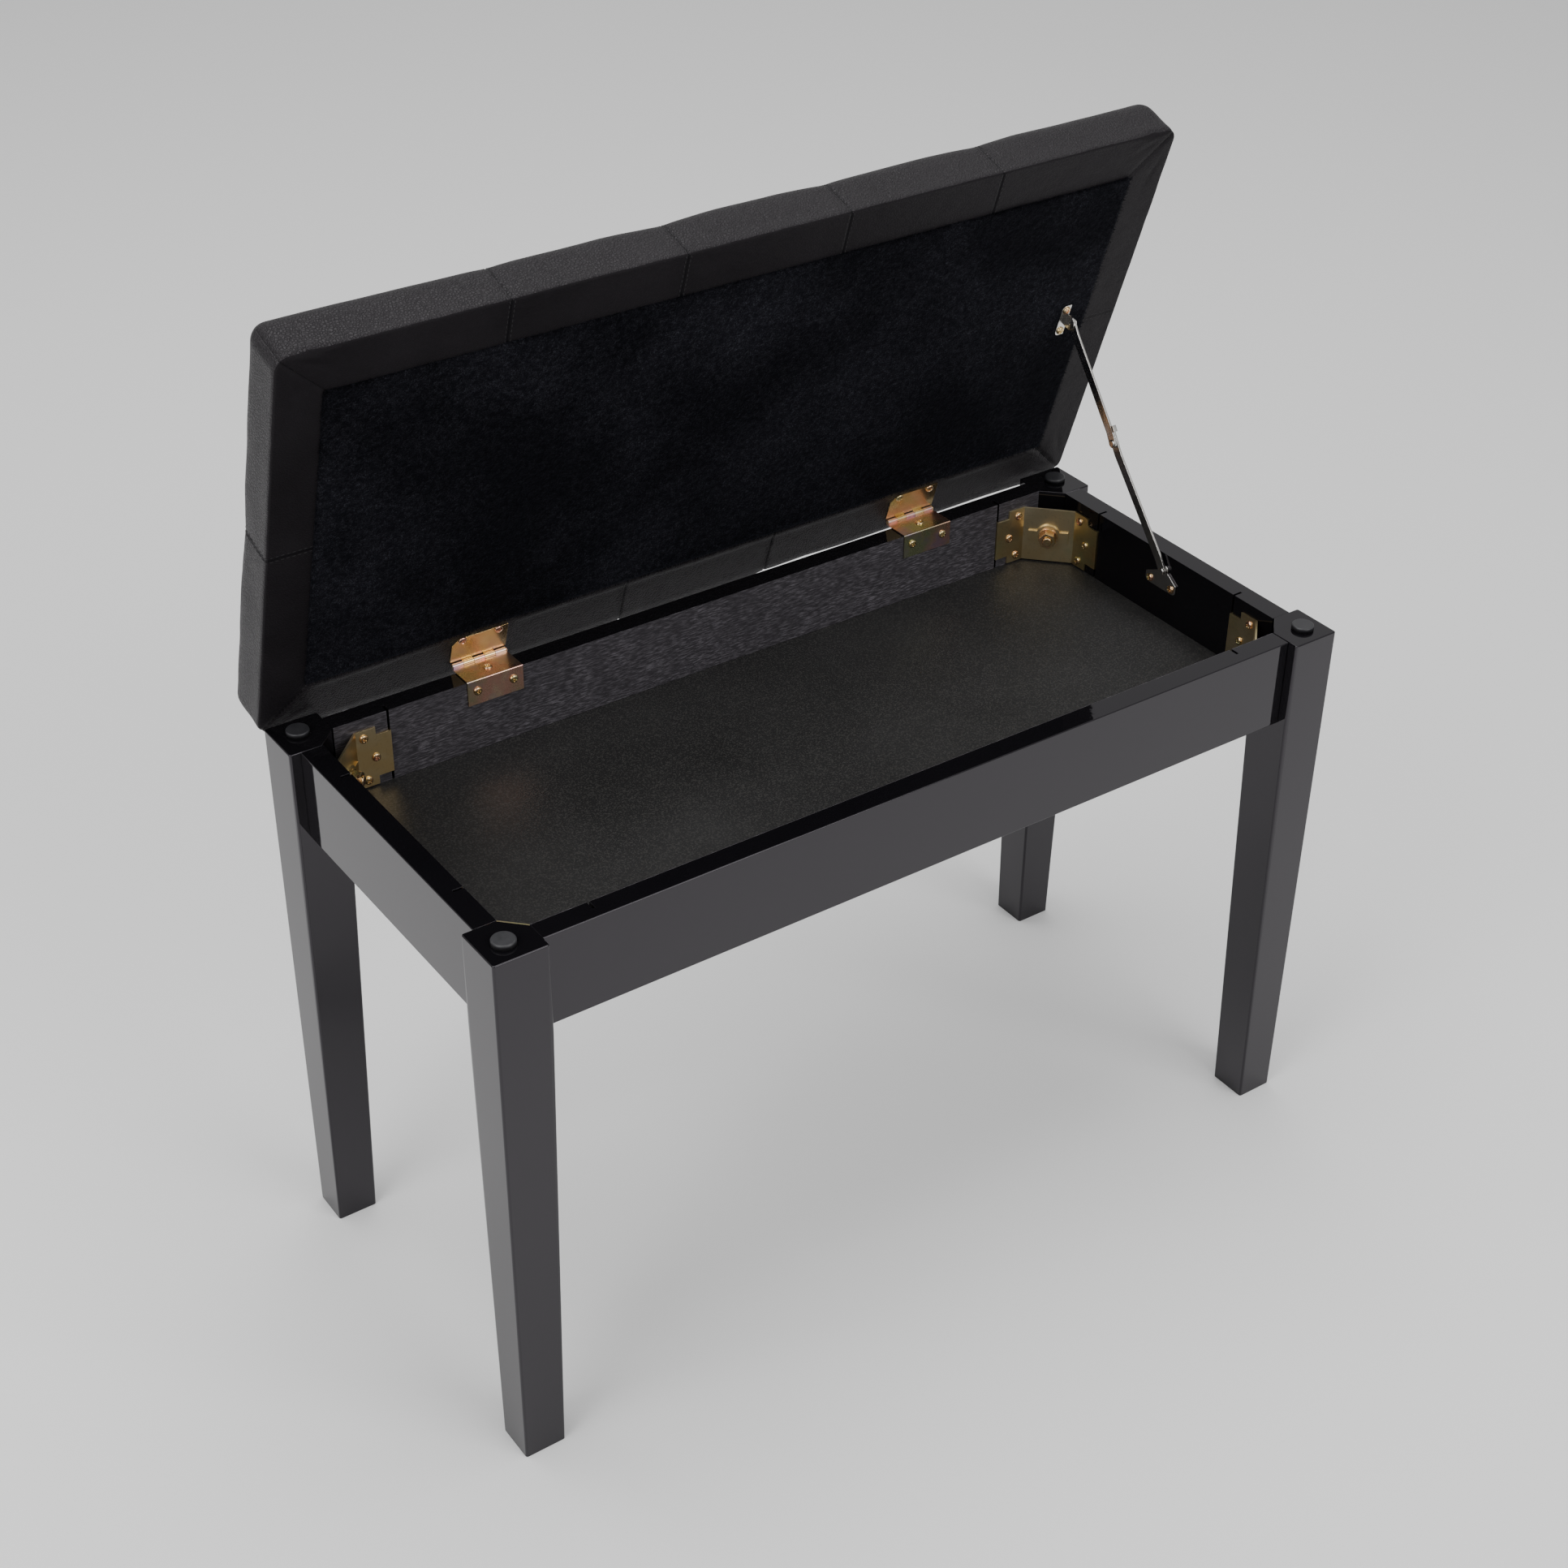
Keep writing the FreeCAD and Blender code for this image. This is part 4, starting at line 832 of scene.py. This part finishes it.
def coverShift(point, normal):
    # how far the leather stands off the plain rounded box, along the normal
    nearX = min(abs(point.x - seam) for seam in crossSeams)
    nearY = abs(point.y - seamY)
    up, down = max(0, normal.z), max(0, -normal.z)
    side = math.sqrt(max(0, 1 - normal.z ** 2))
    facesX = side * abs(normal.x) / max(1e-6, math.hypot(normal.x, normal.y))
    near = nearX if facesX < 0.7 else nearY  # only the seam that crosses this face
    if up > 0.7:
        near = min(nearX, nearY)
    high = min(1, max(0, (point.z - coverLow.z - cover["rimHeight"]) / cover["rimBlend"]))
    edge = min(point.x - coverLow.x, coverHigh.x - point.x, point.y - coverLow.y, coverHigh.y - point.y)
    middle = max(0, up * 1.6 - 0.6) * min(1, max(0, edge) / cover["rimWidth"])
    dip = bump(near, cover["topDipWidth"]) * (cover["topDip"] * middle ** 1.6 + cover["rimDip"] * high)
    dip += cover["sideDip"] * bump(near, cover["sideDipWidth"]) * side
    dip += cover["groove"] * bump(near, cover["grooveWidth"])
    span = cover["panelWidth"] / 2
    crown = (cover["crown"] * middle + cover["rimCrown"] * high) * (1 - bump(near, span * 0.5))
    wave = noise.noise(point * 22 + Vector((3.1, 0.7, 1.9))) * cover["wave"] * (up + 0.55 * side * high)
    wave += noise.noise(point * 70 + Vector((8.2, 4.4, 0.3))) * cover["ripple"] * (1 - 0.3 * up)
    crease = cornerCrease(point, down) if normal.z < 0.4 else 0
    shift = crown - dip + wave - crease + hingeBead(point) * down
    if high < 0.3:
        shift = max(shift, -cover["deepest"])
    return shift


def hingeBead(point):
    # the leather puffs up along the lining's hinge side, but not under the hinge leaves
    fromLeaf = min(abs(point.x - middle) for middle in leafMiddles) - leafHalf - 3 * mm
    clear = min(1, max(0, fromLeaf / (10 * mm))) * min(1, max(0, liningHigh.x - abs(point.x)) / (12 * mm))
    uneven = 1 + 0.5 * noise.noise(Vector((point.x * 19, 2.5, 0.7)))
    return cover["bead"] * uneven * clear * bump(point.y - liningHigh.y - 3 * mm, cover["beadWidth"])


def backSag(point, normal):
    # the hinge side hangs a little, more to the left than to the right
    if normal.y < 0.2 or point.z > coverLow.z + cover["sagHeight"]:
        return 0
    fromSeam = min(abs(point.x - seam) for seam in crossSeams)
    share = 1 - bump(fromSeam, 9 * mm) * 0.12
    lean = 1 - min(1, max(0, (point.x - cover["tighterFrom"]) / cover["tighterOver"])) * cover["tighterBy"]
    fade = math.cos(min(1, (point.z - coverLow.z) / cover["sagHeight"]) * math.pi / 2)
    ends = min(1, (coverHigh.x - abs(point.x)) / cover["sagEnds"])
    ripple = 1 + 0.35 * noise.noise(Vector((point.x * 14, 0.5, 0.2)))
    return cover["backSag"] * share * lean * fade * ends * ripple


def cornerCrease(point, down):
    # folded mitres under the four corners and the puckers beside them
    fromX = min(point.x - coverLow.x, coverHigh.x - point.x)
    fromY = min(point.y - coverLow.y, coverHigh.y - point.y)
    if max(fromX, fromY) > cover["creaseZone"]:
        return 0
    across = (fromX - fromY) / math.sqrt(2)
    along = (fromX + fromY) / math.sqrt(2)
    mitre = cover["creaseDepth"] * bump(across, cover["creaseWidth"])
    pucker = 0
    for k, degrees in enumerate(cover["puckerAngles"]):
        angle = math.radians(degrees)
        line = fromX * math.sin(angle) - fromY * math.cos(angle) + (k - 1) * 3 * mm
        fade = bump(along - (20 + 9 * k) * mm, 12 * mm)
        pucker += cover["puckerDepth"] * bump(line, cover["puckerWidth"]) * fade
    return (mitre + pucker) * (down + 0.6 * (1 - down) * (1 if along < 14 * mm else 0))


def boxFaces(edit, makeVertex, xs, ys, zs):
    # the faces of a box on the given lines; makeVertex turns a point of it into a vertex
    known = {}

    def vertexAt(corner):
        key = tuple(round(value, 6) for value in corner)
        if key not in known:
            known[key] = makeVertex(Vector(corner))
        return known[key]

    def face(*corners):
        edit.faces.new([vertexAt(corner) for corner in corners])

    (x2, y2, z2), (x3, y3, z3) = (xs[0], ys[0], zs[0]), (xs[-1], ys[-1], zs[-1])
    for x0, x1 in zip(xs, xs[1:]):
        for y0, y1 in zip(ys, ys[1:]):
            face((x0, y0, z3), (x1, y0, z3), (x1, y1, z3), (x0, y1, z3))
            face((x0, y0, z2), (x0, y1, z2), (x1, y1, z2), (x1, y0, z2))
        for z0, z1 in zip(zs, zs[1:]):
            face((x0, y2, z0), (x1, y2, z0), (x1, y2, z1), (x0, y2, z1))
            face((x0, y3, z0), (x0, y3, z1), (x1, y3, z1), (x1, y3, z0))
    for y0, y1 in zip(ys, ys[1:]):
        for z0, z1 in zip(zs, zs[1:]):
            face((x2, y0, z0), (x2, y0, z1), (x2, y1, z1), (x2, y1, z0))
            face((x3, y0, z0), (x3, y1, z0), (x3, y1, z1), (x3, y0, z1))


def makeCover():
    low, high = coverLow, coverHigh
    rounds, topRound, ridge = cover["cornerRound"], cover["topRound"], cover["ridgeRound"]
    xs = gridLines(low.x, high.x, crossSeams, rounds, rounds, cover["step"], fine=True)
    ys = gridLines(low.y, high.y, [seamY], rounds, rounds, cover["step"], fine=True)
    zs = gridLines(low.z, high.z, [], ridge + cover["gathered"], topRound, cover["step"])
    edit = bmesh.new()
    seam = edit.verts.layers.float.new("seam")

    def makeVertex(spot):
        place, normal = roundedPoint(spot, low, high, rounds, topRound, ridgeRadius(spot))
        shift = coverShift(place, normal)
        vertex = edit.verts.new(place + normal * shift + Vector((0, backSag(place, normal), 0)))
        nearX = min(abs(place.x - value) for value in crossSeams)
        vertex[seam] = bump(min(nearX, abs(place.y - seamY)), 1.0 * mm)
        return vertex

    boxFaces(edit, makeVertex, xs, ys, zs)
    window = (liningLow.x + cover["windowLap"], liningHigh.x - cover["windowLap"],
              liningLow.y + cover["windowLap"], liningHigh.y - cover["windowLap"])
    # the leather stops under the lining: the middle of the underside is let in flat
    for vertex in edit.verts:
        spot = vertex.co
        inside = window[0] < spot.x < window[1] and window[2] < spot.y < window[3]
        if inside and spot.z < low.z + 4 * mm:
            spot.z = low.z + cover["windowRise"]
            vertex[seam] = 0
    mesh = finishedMesh(edit, "seatCover")
    # the underside is stretched smooth, apart from the strip at the hinge side
    for polygon in mesh.polygons:
        spot = polygon.center
        fromEnd = min(spot.x - low.x, high.x - spot.x)
        hingeSide = spot.y > liningHigh.y - 1 * mm and high.y - spot.y < fromEnd
        polygon.material_index = 1 if polygon.normal.z < -0.75 and not hingeSide else 0
    return mesh


coverMesh = makeCover()
seatCover = addObject("seatCover", coverMesh, finish["leather"])
coverMesh.materials.append(finish["leatherUnder"])
print("seat cover has", len(coverMesh.polygons), "faces")


# stitches beside each seam, laid along the finished leather
stitch = {"spacing": 4.2 * mm, "length": 2.7 * mm, "thickness": 0.5 * mm, "beside": 2.0 * mm}


def seamPath(axis, value):
    # points round the lid in the plane across the given axis, in order
    spots = [vertex.co for vertex in coverMesh.vertices if abs(vertex.co[axis] - value) < 0.12 * mm]
    other = 1 - axis

    def angle(spot):
        rise = (spot.z - coverMiddle.z) / coverHalf.z
        across = (spot[other] - coverMiddle[other]) / coverHalf[other]
        return (math.atan2(rise, across) + math.pi / 2) % (2 * math.pi)

    def underLining(spot):
        return spot.z < coverLow.z + 4 * mm and liningLow[other] < spot[other] < liningHigh[other]

    return sorted((spot for spot in spots if not underLining(spot)), key=angle)


def stitchTree():
    tree, start, end = geometryTree("rowOfStitches", [("Spacing", "Float"), ("Length", "Float"),
                                                      ("Thickness", "Float"), ("Material", "Material")])
    even = evenCurve(tree, start)
    aimed = aimedAlong(tree, addNode(tree, "GeometryNodeInputTangent").outputs[0])
    radius = maths(tree, "MULTIPLY", start["Thickness"], 0.5)
    ball = addNode(tree, "GeometryNodeMeshUVSphere", {"Segments": 6, "Rings": 4, "Radius": radius})
    longer = maths(tree, "DIVIDE", start["Length"], start["Thickness"])
    shape = addNode(tree, "ShaderNodeCombineXYZ", {0: 1.0, 1: 1.0, 2: longer}).outputs[0]
    placed = addNode(tree, "GeometryNodeInstanceOnPoints",
                     {"Points": even.outputs[0], "Instance": ball.outputs[0], "Rotation": aimed,
                      "Scale": shape})
    return endTree(tree, start, end, placed)


def makeStitches():
    points, chains = [], []
    paths = [seamPath(0, seam + side * stitch["beside"]) for seam in crossSeams for side in (-1, 1)]
    paths += [seamPath(1, seamY + side * stitch["beside"]) for side in (-1, 1)]
    for path in paths:
        first = len(points)
        points += path
        chains += [(first + i, first + i + 1) for i in range(len(path) - 1)
                   if (path[i + 1] - path[i]).length < 30 * mm]
    mesh = bpy.data.meshes.new("seamStitches")
    mesh.from_pydata(points, chains, [])
    item = addObject("seamStitches", mesh)
    return applyTree(item, stitchTree(), Spacing=stitch["spacing"], Length=stitch["length"],
                     Thickness=stitch["thickness"], Material=finish["thread"])


seamStitches = makeStitches()
print("stitches laid")


# velvet lining: a thin padded panel with rolled edges and a fringe of pile
lining = {"cornerRound": 3 * mm, "edgeRound": 1.1 * mm, "topRound": 0.3 * mm, "step": 6 * mm,
          "swell": 0.7 * mm, "ripple": 0.35 * mm, "unevenEdge": 0.6 * mm}


def makeLining():
    low, high = liningLow.copy(), liningHigh.copy()
    high.z = coverLow.z + cover["windowRise"] * 0.5
    low.z = liningLow.z - 0.3 * mm
    edit = bmesh.new()
    rounds = lining["cornerRound"]
    xs = gridLines(low.x, high.x, [], rounds, rounds, lining["step"])
    ys = gridLines(low.y, high.y, [], rounds, rounds, lining["step"])
    zs = [low.z + (high.z - low.z) * k / 4 for k in range(5)]

    def makeVertex(spot):
        place, normal = roundedPoint(spot, low, high, rounds, lining["topRound"], lining["edgeRound"])
        fromEdge = min(spot.x - low.x, high.x - spot.x, spot.y - low.y, high.y - spot.y)
        plump = 1.4 if spot.y > high.y - 20 * mm else 0.5
        roll = lining["swell"] * bump(fromEdge - 4 * mm, 3 * mm) * plump
        wobble = noise.noise(place * 60) * lining["ripple"]
        edge = noise.noise(Vector((place.x * 34, place.y * 34, 2.5))) * lining["unevenEdge"]
        vertex = edit.verts.new(place)
        if normal.z < -0.3:
            vertex.co.z -= roll + max(0, wobble) * 0.7
        if abs(normal.x) > 0.3:
            vertex.co.x += edge
        if abs(normal.y) > 0.3:
            vertex.co.y += edge
        return vertex

    boxFaces(edit, makeVertex, xs, ys, zs)
    return finishedMesh(edit, "velvetLining")


velvetLining = addObject("velvetLining", makeLining(), finish["velvet"])
print("lining made")


# short pile standing out along the lining's edge
pile = {"spacing": 1.3 * mm, "length": 2.6 * mm, "thickness": 0.35 * mm, "spread": 0.9, "seed": 7,
        "inset": 0.6 * mm, "rise": 0.4 * mm, "droop": -0.5}


def pileTree():
    # thin tapered hairs on the points of an edge line, leaning at random
    tree, start, end = geometryTree("edgePile", [("Spacing", "Float"), ("Length", "Float"),
                                                 ("Thickness", "Float"), ("Spread", "Float"),
                                                 ("Seed", "Int"), ("Material", "Material")])
    even = evenCurve(tree, start)
    tilt = addNode(tree, "FunctionNodeRandomValue", {0: (-1, -1, -1), 1: (1, 1, 1),
                                                     "Seed": start["Seed"]}, data_type="FLOAT_VECTOR")
    lean = addNode(tree, "ShaderNodeVectorMath", {0: tilt.outputs[0], "Scale": start["Spread"]},
                   operation="SCALE")
    outward = named(tree, "outward", "FLOAT_VECTOR")
    turned = aimedAlong(tree, vectorMaths(tree, "ADD", outward, lean.outputs[0]))
    hair = addNode(tree, "GeometryNodeMeshCone", {"Vertices": 4, "Radius Top": 0.03 * mm,
                                                  "Radius Bottom": start["Thickness"],
                                                  "Depth": start["Length"]})
    placed = addNode(tree, "GeometryNodeInstanceOnPoints",
                     {"Points": even.outputs[0], "Instance": hair.outputs[0], "Rotation": turned})
    return endTree(tree, start, end, placed)


def makePile():
    low, high = liningLow, liningHigh
    inset, level = pile["inset"], low.z + pile["rise"]
    corners = [(low.x + inset, low.y + inset), (high.x - inset, low.y + inset),
               (high.x - inset, high.y - inset), (low.x + inset, high.y - inset)]
    outs = [(0, -1), (1, 0), (0, 1), (-1, 0)]
    points, chains, ways = [], [], []
    for k, (x, y) in enumerate(corners):
        nextX, nextY = corners[(k + 1) % 4]
        first = len(points)
        points += [(x, y, level), (nextX, nextY, level)]
        ways += [(*outs[k], pile["droop"])] * 2
        chains.append((first, first + 1))
    mesh = bpy.data.meshes.new("velvetPile")
    mesh.from_pydata(points, chains, [])
    mesh.attributes.new("outward", "FLOAT_VECTOR", "POINT")
    for i, way in enumerate(ways):
        mesh.attributes["outward"].data[i].vector = way
    item = addObject("velvetPile", mesh)
    return applyTree(item, pileTree(), Spacing=pile["spacing"], Length=pile["length"],
                     Thickness=pile["thickness"], Spread=pile["spread"], Seed=pile["seed"],
                     Material=finish["velvet"])


velvetEdge = makePile()
print("pile made")


# the lid's soft pieces are folded open and ride on the lid
for piece in (seatCover, seamStitches, velvetLining, velvetEdge):
    piece.data.transform(foldOpen)
    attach(piece, "lid")
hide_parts("seat_cover", "seat_foam")
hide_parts("lid_lining")
bpy.data.objects.remove(screwTemplate)
print("lid folded open")


studio = {
    "world": 0.55,
    "floor": (0.86, 0.86, 0.86, 1),
    "floorSize": 14.0,
    "lights": {  # place, target, size, power
        "leftBox": ((-2.6, -0.6, 2.2), (0, 0, 0.35), (1.8, 1.8), 42),
        "frontBox": ((0.9, -3.0, 2.6), (0, 0, 0.3), (2.2, 1.6), 60),
        "floorWash": ((0, 0.6, 3.4), (0, 0.2, 0), (3.0, 3.0), 70),
    },
}


def makeStudio():
    world = bpy.data.worlds.new("studio")
    scene.world = world
    world.use_nodes = True
    backdrop = world.node_tree.nodes["Background"].inputs
    backdrop["Color"].default_value = (1, 1, 1, 1)
    backdrop["Strength"].default_value = studio["world"]
    half = studio["floorSize"] / 2
    mesh = bpy.data.meshes.new("floor")
    mesh.from_pydata([(-half, -half, 0), (half, -half, 0), (half, half, 0), (-half, half, 0)], [],
                     [(0, 1, 2, 3)])
    material = bpy.data.materials.new("paleFloor")
    material.use_nodes = True
    shader = material.node_tree.nodes["Principled BSDF"]
    shader.inputs["Base Color"].default_value = studio["floor"]
    shader.inputs["Roughness"].default_value = 0.9
    shader.inputs["Specular IOR Level"].default_value = 0.1
    addObject("floor", mesh, material)


def softbox(name, place, target, size, power):
    light = bpy.data.lights.new(name, "AREA")
    light.shape = "RECTANGLE"
    light.size, light.size_y = size
    light.energy = power
    item = bpy.data.objects.new(name, light)
    scene.collection.objects.link(item)
    item.location = place
    item.rotation_euler = (Vector(target) - Vector(place)).to_track_quat("-Z", "Y").to_euler()


makeStudio()
for name, settings in studio["lights"].items():
    softbox(name, *settings)

view = {"target": (-0.0131, 0.0045, 0.3575), "distance": 2.0, "azimuth": -35.23, "elevation": 34.16,
        "roll": 0.66, "lens": 58.635, "sensor": 36}


def makeCamera():
    turn, rise = math.radians(view["azimuth"]), math.radians(view["elevation"])
    back = Vector((math.sin(turn) * math.cos(rise), -math.cos(turn) * math.cos(rise), math.sin(rise)))
    right = Vector((math.cos(turn), math.sin(turn), 0))
    up = back.cross(right)
    roll = math.radians(view["roll"])
    tiltedRight = right * math.cos(roll) + up * math.sin(roll)
    tiltedUp = up * math.cos(roll) - right * math.sin(roll)
    axes = Matrix((tiltedRight, tiltedUp, back)).transposed().to_4x4()
    data = bpy.data.cameras.new("camera")
    data.lens = view["lens"]
    data.sensor_width = view["sensor"]
    item = bpy.data.objects.new("camera", data)
    scene.collection.objects.link(item)
    item.matrix_world = Matrix.Translation(Vector(view["target"]) + back * view["distance"]) @ axes
    scene.camera = item


makeCamera()
print("studio and camera set")
